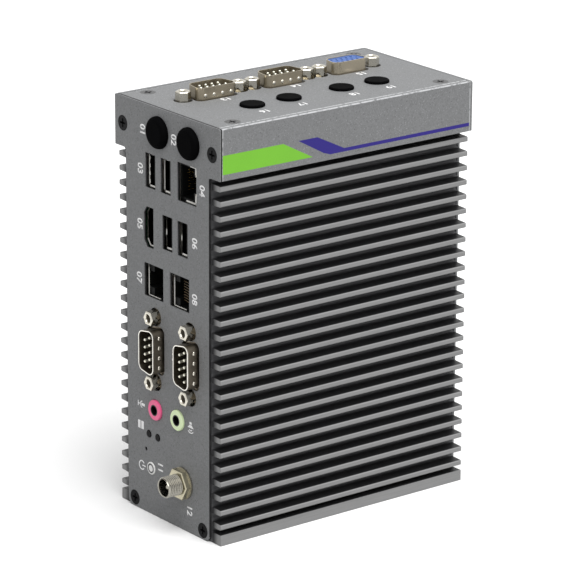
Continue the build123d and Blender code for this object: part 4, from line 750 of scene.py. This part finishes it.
def bowed_strip(work, length, width, bow, thickness, place):
    """Adds a sheet-metal strip that bows up between its two ends."""
    grid = bmesh.ops.create_grid(work, x_segments=8, y_segments=1, size=0.5)
    for vert in grid["verts"]:
        rise = bow * (1 - (2 * vert.co.x) ** 2)
        vert.co = Vector((vert.co.x * length, vert.co.y * width, rise))
    faces = list({face for vert in grid["verts"] for face in vert.link_faces})
    solid = bmesh.ops.solidify(work, geom=faces, thickness=thickness)
    points = {*grid["verts"], *(item for item in solid["geom"] if isinstance(item, bmesh.types.BMVert))}
    bmesh.ops.transform(work, matrix=place, verts=list(points))


def add_lip(work, settings, mouth, corners):
    """Adds a thin sheet at the sockets' front, with corners in millimetres from a mouth's middle."""
    front = PORT_FACE - 0.00002
    points = [work.verts.new(((mouth[0] + u) * MM, front, (mouth[1] + v) * MM)) for u, v in corners]
    raised = bmesh.ops.extrude_face_region(work, geom=[work.faces.new(points)])
    moved = [item for item in raised["geom"] if isinstance(item, bmesh.types.BMVert)]
    bmesh.ops.translate(work, verts=moved, vec=(0, -settings.metal_thickness, 0))


def add_tabs(work, settings, mouth, tabs):
    """Adds folded tabs at a mouth, each from its left, right, low and high."""
    for tab in tabs:
        add_lip(work, settings, mouth, rectangle(*tab))


def thicken(piece, thickness):
    """Gives a flat print its thickness, outwards from what it is printed on."""
    layer = piece.modifiers.new("ink", "SOLIDIFY")
    layer.thickness = thickness
    layer.offset = 1.0


# Operators


class COMPUTER_OT_finish_nodes(bpy.types.Operator):
    """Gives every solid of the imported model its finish"""

    bl_idname = "computer.finish_nodes"
    bl_label = "Finish the solids"

    def execute(self, context):
        build_finishes(context.scene.computer_finish)
        for part in frame["record"]["subparts"]:
            name, slot = part["node"], part["material_slot"]
            finish = FINISHES[NODE_FINISHES.get(name) or SLOT_FINISHES.get(slot, slot)]
            for material_slot in frame["nodes"][name].material_slots:
                material_slot.material = finish
        return {"FINISHED"}


class COMPUTER_OT_round_sheet_edges(bpy.types.Operator):
    """Replaces the four plates and frames with copies whose edges are rounded over"""

    bl_idname = "computer.round_sheet_edges"
    bl_label = "Round the sheet edges"

    def execute(self, context):
        width = context.scene.computer_finish.edge_round
        shortest = 0.00005
        for name in ("port_plate", "rear_plate", "header_frame", "top_plate"):
            work = merged_copy(name)
            bmesh.ops.dissolve_limit(
                work, angle_limit=math.radians(0.5), verts=work.verts, edges=work.edges,
                use_dissolve_boundaries=False,
            )
            sharp = [edge for edge in folded_edges(work, 40) if edge.calc_length() > shortest]
            for face in bevel_edges(work, sharp, width, segments=2):
                face.smooth = True
            finish = NODE_FINISHES.get(name, "plate_coat")
            piece = finish_piece(work, name + "_rounded", finish)
            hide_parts(name)
        return {"FINISHED"}


class COMPUTER_OT_print_stripes(bpy.types.Operator):
    """Prints two plain stripes along the cap's side"""

    bl_idname = "computer.print_stripes"
    bl_label = "Print the stripes"

    def execute(self, context):
        settings = context.scene.computer_print
        top = CAP_HIGH - settings.stripe_drop
        low = top - settings.stripe_height
        line_low = low - 0.0003
        line_high = line_low + settings.line_height
        slant = settings.stripe_height * 1.9
        start = CAP_FRONT + 0.0002
        broad_end = CAP_FRONT + 0.0270
        long_start = broad_end + 0.0068
        long_end = long_start + 0.0086
        elbow = long_start + slant * 0.92
        elbow_end = elbow + 0.0086
        back = CAP_BACK - 0.0004
        broad = [(start, low), (broad_end + slant, low), (broad_end, top), (start, top)]
        long_band = [
            (long_start, top),
            (elbow - 0.0008, low + settings.line_height * 0.55),
            (elbow + 0.0022, line_low),
            (back, line_low),
            (back, line_high),
            (elbow_end, line_high),
            (elbow_end - 0.0032, low + settings.line_height * 2),
            (long_end, top),
        ]
        side = facing((CAP_SIDE, 0, 0), (0, 1, 0), (1, 0, 0))
        for name, corners, color in (
            ("broad_stripe", broad, settings.broad_stripe),
            ("long_stripe", long_band, settings.long_stripe),
        ):
            work = bmesh.new()
            add_patch(work, corners, side)
            grained(name + "_ink", color, 0.42, 1500.0, 0.12, specular=0.3, bump=0.2)
            piece = finish_piece(work, name, name + "_ink")
            thicken(piece, settings.ink_thickness)
        return {"FINISHED"}


class COMPUTER_OT_print_numbers(bpy.types.Operator):
    """Prints plain numbers and small marks beside the ports"""

    bl_idname = "computer.print_numbers"
    bl_label = "Print the numbers"

    def execute(self, context):
        settings = context.scene.computer_print
        grained("white_ink", settings.ink_color, 0.5, 2500.0, 0.1, specular=0.3, bump=0.1)
        front = bmesh.new()
        for x, z, digits in FRONT_NUMBERS:
            add_number(front, digits, settings.number_height, front_place(x, z))
        for middle, patches, arcs in MARKS.values():
            place = front_place(*middle) @ Matrix.Scale(settings.mark_size, 4)
            for corners in patches:
                add_patch(front, corners, place)
            for arc in arcs:
                add_arc(front, *arc, place)
        top = bmesh.new()
        for x, y, digits in TOP_NUMBERS:
            add_number(top, digits, settings.number_height, top_place(x, y))
        for work, name, outward in (
            (front, "front_numbers", Vector((0, -1, 0))),
            (top, "top_numbers", Vector((0, 0, 1))),
        ):
            merge_doubles(work)
            work.normal_update()
            inverted = [face for face in work.faces if face.normal.dot(outward) < 0]
            bmesh.ops.reverse_faces(work, faces=inverted)
            piece = finish_piece(work, name, "white_ink")
            thicken(piece, settings.ink_thickness)
        return {"FINISHED"}


class COMPUTER_OT_press_dimples(bpy.types.Operator):
    """Presses the rows of dimples into the long sides of each plug's shell"""

    bl_idname = "computer.press_dimples"
    bl_label = "Press the dimples"

    def execute(self, context):
        settings = context.scene.computer_ports
        work = bmesh.new()
        half_width = 4.5 * MM
        inset = 3.0 * MM
        flattened = Matrix.Diagonal((0.42, 1, 1, 1))
        for count in range(settings.dimple_count):
            step = (count - (settings.dimple_count - 1) / 2) * settings.dimple_pitch
            # The shorter long side has one dimple fewer
            walls = (half_width, -half_width) if count else (half_width,)
            for wall in walls:
                places = [(x * MM + wall, PLUG_FACE + inset, z * MM + step) for x, z in SERIAL_FRONT]
                places += [(x * MM + wall, y * MM + step, PLUG_TOP - inset) for x, y in SERIAL_TOP]
                for place in places:
                    bmesh.ops.create_uvsphere(
                        work, u_segments=12, v_segments=8, radius=settings.dimple_radius,
                        matrix=Matrix.Translation(place) @ flattened,
                    )
        tidy_mesh(work)
        finish_piece(work, "shell_dimples", "nickel", smooth_angle=60)
        return {"FINISHED"}


class COMPUTER_OT_fit_socket_springs(bpy.types.Operator):
    """Fits spring fingers, contact strips and folded edges in the upright sockets"""

    bl_idname = "computer.fit_socket_springs"
    bl_label = "Fit the socket springs"

    def execute(self, context):
        settings = context.scene.computer_ports
        springs = bmesh.new()
        contacts = bmesh.new()
        edges = bmesh.new()
        for mouth in UPPER_SOCKETS:
            self.add_springs(springs, settings, mouth)
            self.add_contacts(contacts, settings, mouth, *UPPER_STRIPS)
            add_tabs(edges, settings, mouth, UPPER_SOCKET_TABS)
        add_tabs(edges, settings, UPPER_SOCKETS[0], FIRST_SOCKET_TEETH)
        for mouth in LOWER_SOCKETS:
            self.add_contacts(contacts, settings, mouth, *LOWER_STRIPS)
            add_tabs(edges, settings, mouth, LOWER_SOCKET_TABS)
        for work, name, finish in (
            (springs, "socket_springs", "socket_steel"),
            (contacts, "socket_contacts", "nickel"),
            (edges, "socket_edges", "tin_plate"),
        ):
            tidy_mesh(work)
            finish_piece(work, name, finish, smooth_angle=35)
        return {"FINISHED"}

    def add_springs(self, work, settings, mouth):
        """Adds two spring fingers on each side wall of a socket."""
        wall = 2.51 * MM
        bow = 0.5 * MM
        depth = PORT_FACE + 0.6 * MM + settings.spring_length / 2
        for side in (-1, 1):
            for step in (-2.9, 2.9):
                origin = (mouth[0] * MM + side * wall, depth, (mouth[1] + step) * MM)
                bowed_strip(
                    work, settings.spring_length, settings.spring_width, bow, settings.metal_thickness,
                    facing(origin, (0, 1, 0), (-side, 0, 0)),
                )

    def add_contacts(self, work, settings, mouth, steps, length, start, width):
        """Adds contact strips on a socket's tongue."""
        tongue_face = mouth[0] + 0.23
        bow = 0.26 * MM
        thickness = settings.metal_thickness * 0.8
        depth = PORT_FACE + (start + length / 2) * MM
        for step in steps:
            place = facing((tongue_face * MM, depth, (mouth[1] + step) * MM), (0, 1, 0), (1, 0, 0))
            bowed_strip(work, length * MM, width * MM, bow, thickness, place)


class COMPUTER_OT_fold_jack_shields(bpy.types.Operator):
    """Folds the bright shield tabs round the network jacks' and the video port's mouths, and bends wires"""

    bl_idname = "computer.fold_jack_shields"
    bl_label = "Fold the jack shields"

    def execute(self, context):
        settings = context.scene.computer_ports
        tabs = bmesh.new()
        add_tabs(tabs, settings, UPPER_JACK, UPPER_JACK_TABS)
        for mouth in LOWER_JACKS:
            add_tabs(tabs, settings, mouth, LOWER_JACK_TABS)
        add_tabs(tabs, settings, VIDEO_MOUTH, [VIDEO_TAB])
        add_lip(tabs, settings, VIDEO_MOUTH, VIDEO_LIP)
        wires = bmesh.new()
        self.add_wires(wires, settings, LOWER_JACKS[1])
        for work, name, finish, slot in (
            (tabs, "shield_tabs", "tin_plate", "nickel"),
            (wires, "jack_wires", "shaded_wire_gold", "contact_gold"),
        ):
            tidy_mesh(work)
            finish_piece(work, name, finish, smooth_angle=35)
        return {"FINISHED"}

    def add_wires(self, work, settings, mouth):
        """Adds the eight bent contact wires of a network jack."""
        wire_count = 8
        wire_pitch = 1.02
        wire_width = 0.24 * MM
        bow = 0.2 * MM
        upright = Vector((0, 0, 1))
        for count in range(wire_count):
            height = (mouth[1] + (count - (wire_count - 1) / 2) * wire_pitch) * MM
            start = Vector(((mouth[0] + 4.9) * MM, PORT_FACE + 0.4 * MM, height))
            end = Vector(((mouth[0] - 1.4) * MM, PORT_FACE + 1.7 * MM, height))
            along = (end - start).normalized()
            place = facing((start + end) / 2, along, along.cross(upright))
            bowed_strip(work, (end - start).length, wire_width, bow, settings.metal_thickness, place)


class COMPUTER_OT_cut_screw_threads(bpy.types.Operator):
    """Countersinks every hexagon screw and cuts its thread"""

    bl_idname = "computer.cut_screw_threads"
    bl_label = "Cut the screw threads"

    def execute(self, context):
        work = bmesh.new()
        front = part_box("jack_screws_front")[0].y
        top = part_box("jack_screws_top")[1].z
        front_places = []
        top_places = []
        for offset in (-SCREW_OFFSET, SCREW_OFFSET):
            front_places += [Vector((x * MM, front, (z + offset) * MM)) for x, z in SERIAL_FRONT]
            top_places += [Vector((x * MM, (y + offset) * MM, top)) for x, y in TOP_ROW]
        for places, inwards in ((front_places, (0, 1, 0)), (top_places, (0, 0, -1))):
            for place in places:
                self.add_thread(work, facing(place, (1, 0, 0), inwards))
        tidy_mesh(work)
        # The dark thread steel is painted shade inside the bores.
        finish_piece(work, "screw_threads", "shaded_thread_steel", smooth_angle=50)
        self.countersink("jack_screws_front", front_places)
        self.countersink("jack_screws_top", top_places)
        return {"FINISHED"}

    def countersink(self, name, places):
        """Replaces the screws of a node with copies whose holes open out at the end face."""
        work = merged_copy(name)
        reach = 1.6 * MM
        mouths = [
            edge for edge in folded_edges(work, 60)
            if any(all((vert.co - place).length < reach for vert in edge.verts) for place in places)
        ]
        bevel_edges(work, mouths, 0.4 * MM, segments=1)
        piece = finish_piece(work, name + "_countersunk", "nickel", smooth_angle=25)
        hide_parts(name)

    def add_thread(self, work, place):
        """Adds the closed ring of one thread's ridges, running in from the countersink."""
        pitch, outer, inner = 0.0005, 0.00141, 0.00122
        back = outer + 0.00006
        start = 0.00043
        turns = 5
        profile = [(outer, start)]
        for turn in range(turns):
            profile.append((inner, start + pitch * (turn + 0.45)))
            profile.append((outer, start + pitch * (turn + 1)))
        profile += [(back, start + pitch * turns), (back, start)]
        spin_ring(work, profile, place, steps=20)


class COMPUTER_OT_cut_inlet_thread(bpy.types.Operator):
    """Replaces the inlet's barrel with one that carries its thread"""

    bl_idname = "computer.cut_inlet_thread"
    bl_label = "Cut the inlet's thread"

    def execute(self, context):
        settings = context.scene.computer_ports
        low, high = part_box("power_inlet_barrel")
        radius = (high.x - low.x) / 2
        bore = radius - 0.75 * MM
        root = radius - settings.thread_depth
        tip, foot = low.y, high.y
        plain_end = 1.6 * MM
        profile = [(bore, foot), (bore, tip + 0.0003), (bore + 0.00025, tip), (radius - 0.00045, tip)]
        ridge = tip + 0.4 * MM
        while ridge + settings.thread_pitch < foot - plain_end:
            profile.append((root, ridge))
            profile.append((radius, ridge + settings.thread_pitch * 0.4))
            profile.append((radius, ridge + settings.thread_pitch * 0.6))
            ridge += settings.thread_pitch
        profile += [(root, ridge), (radius, ridge + settings.thread_depth), (radius, foot)]
        work = bmesh.new()
        spin_ring(work, profile, facing((INLET[0] * MM, 0, INLET[1] * MM), (1, 0, 0), (0, 1, 0)), steps=48)
        tidy_mesh(work)
        piece = finish_piece(work, "inlet_barrel", "dark_nickel", smooth_angle=30)
        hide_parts("power_inlet_barrel")
        return {"FINISHED"}


class COMPUTER_OT_set_stage(bpy.types.Operator):
    """Sets the pale floor, the soft light and the camera"""

    bl_idname = "computer.set_stage"
    bl_label = "Set the stage"

    def execute(self, context):
        settings = context.scene.computer_stage
        scene = context.scene
        scene.view_settings.view_transform = "Standard"
        self.lay_floor(settings)
        self.light_world(scene, settings)
        key = bpy.data.lights.new("key", "SUN")
        key.energy = settings.key_strength
        key.angle = math.radians(62)
        lamp = new_object("key", key)
        lamp.rotation_euler = Vector((0.46, -0.02, 0.89)).to_track_quat("Z", "Y").to_euler()
        lens = bpy.data.cameras.new("camera")
        lens.lens = 224.94
        lens.sensor_width = 36.0
        lens.clip_end = 100.0
        camera = new_object("camera", lens)
        camera.location = (1.0075, -0.7831, 0.4870)
        camera.rotation_euler = [math.radians(angle) for angle in (72.299, -0.301, 52.338)]
        scene.camera = camera
        return {"FINISHED"}

    def seen_directly(self, tree):
        """1 for rays from the camera and for those that mirror or pass through."""
        path = tree.nodes.new("ShaderNodeLightPath")
        clear = calculate(tree, "MAXIMUM", path.outputs["Is Glossy Ray"], path.outputs["Is Transmission Ray"])
        return calculate(tree, "MAXIMUM", path.outputs["Is Camera Ray"], clear)

    def lay_floor(self, settings):
        """Large flat floor just under the object, paler to the eye than to the light that it returns."""
        work = bmesh.new()
        bmesh.ops.create_grid(work, x_segments=1, y_segments=1, size=settings.floor_size / 2)
        bmesh.ops.translate(work, verts=work.verts, vec=(0, 0, -0.0001))
        tree, shader, _ = new_material("floor", specular=0.0)
        shader.inputs["Roughness"].default_value = 0.9
        color = mix_colours(tree, self.seen_directly(tree), shade(176, 176, 176), settings.floor_color)
        tree.links.new(color, shader.inputs["Base Color"])
        floor = mesh_object(work, "floor", "floor")

    def light_world(self, scene, settings):
        """White surroundings to the eye, softer as a light."""
        world = bpy.data.worlds.new("surroundings")
        scene.world = world
        world.use_nodes = True
        tree = world.node_tree
        mix = tree.nodes.new("ShaderNodeMixShader")
        tree.links.new(self.seen_directly(tree), mix.inputs[0])
        light = tree.nodes["Background"]
        white = tree.nodes.new("ShaderNodeBackground")
        for node, strength, socket in (
            (light, settings.sky_strength, mix.inputs[1]),
            (white, 1.0, mix.inputs[2]),
        ):
            node.inputs["Color"].default_value = (1, 1, 1, 1)
            node.inputs["Strength"].default_value = strength
            tree.links.new(node.outputs[0], socket)
        tree.links.new(mix.outputs[0], tree.nodes["World Output"].inputs["Surface"])


OPERATORS = (
    COMPUTER_OT_finish_nodes,
    COMPUTER_OT_round_sheet_edges,
    COMPUTER_OT_print_stripes,
    COMPUTER_OT_print_numbers,
    COMPUTER_OT_press_dimples,
    COMPUTER_OT_fit_socket_springs,
    COMPUTER_OT_fold_jack_shields,
    COMPUTER_OT_cut_screw_threads,
    COMPUTER_OT_cut_inlet_thread,
    COMPUTER_OT_set_stage,
)
SETTINGS = {
    "computer_finish": ComputerFinishSettings,
    "computer_print": ComputerPrintSettings,
    "computer_ports": ComputerPortSettings,
    "computer_stage": ComputerStageSettings,
}


class COMPUTER_PT_build(bpy.types.Panel):
    """Lists the steps that dress the computer"""

    bl_idname = "COMPUTER_PT_build"
    bl_label = "Rail-mounted computer"
    bl_space_type = "VIEW_3D"
    bl_region_type = "UI"
    bl_category = "Computer"

    def draw(self, context):
        column = self.layout.column()
        for operator in OPERATORS:
            column.operator(operator.bl_idname)
        for settings in SETTINGS:
            group = getattr(context.scene, settings)
            for name in group.bl_rna.properties.keys():
                if name not in {"rna_type", "name"}:
                    column.prop(group, name)


CLASSES = (*SETTINGS.values(), *OPERATORS, COMPUTER_PT_build)


def register():
    for cls in CLASSES:
        bpy.utils.register_class(cls)
    for name, cls in SETTINGS.items():
        setattr(bpy.types.Scene, name, PointerProperty(type=cls))


def unregister():
    for name in SETTINGS:
        delattr(bpy.types.Scene, name)
    for cls in reversed(CLASSES):
        bpy.utils.unregister_class(cls)


def main():
    register()
    bpy.ops.computer.finish_nodes()
    bpy.ops.computer.round_sheet_edges()
    bpy.ops.computer.print_stripes()
    bpy.ops.computer.print_numbers()
    bpy.ops.computer.press_dimples()
    bpy.ops.computer.fit_socket_springs()
    bpy.ops.computer.fold_jack_shields()
    bpy.ops.computer.cut_screw_threads()
    bpy.ops.computer.cut_inlet_thread()
    bpy.ops.computer.set_stage()
    bpy.context.view_layer.update()


if __name__ == "__main__":
    main()
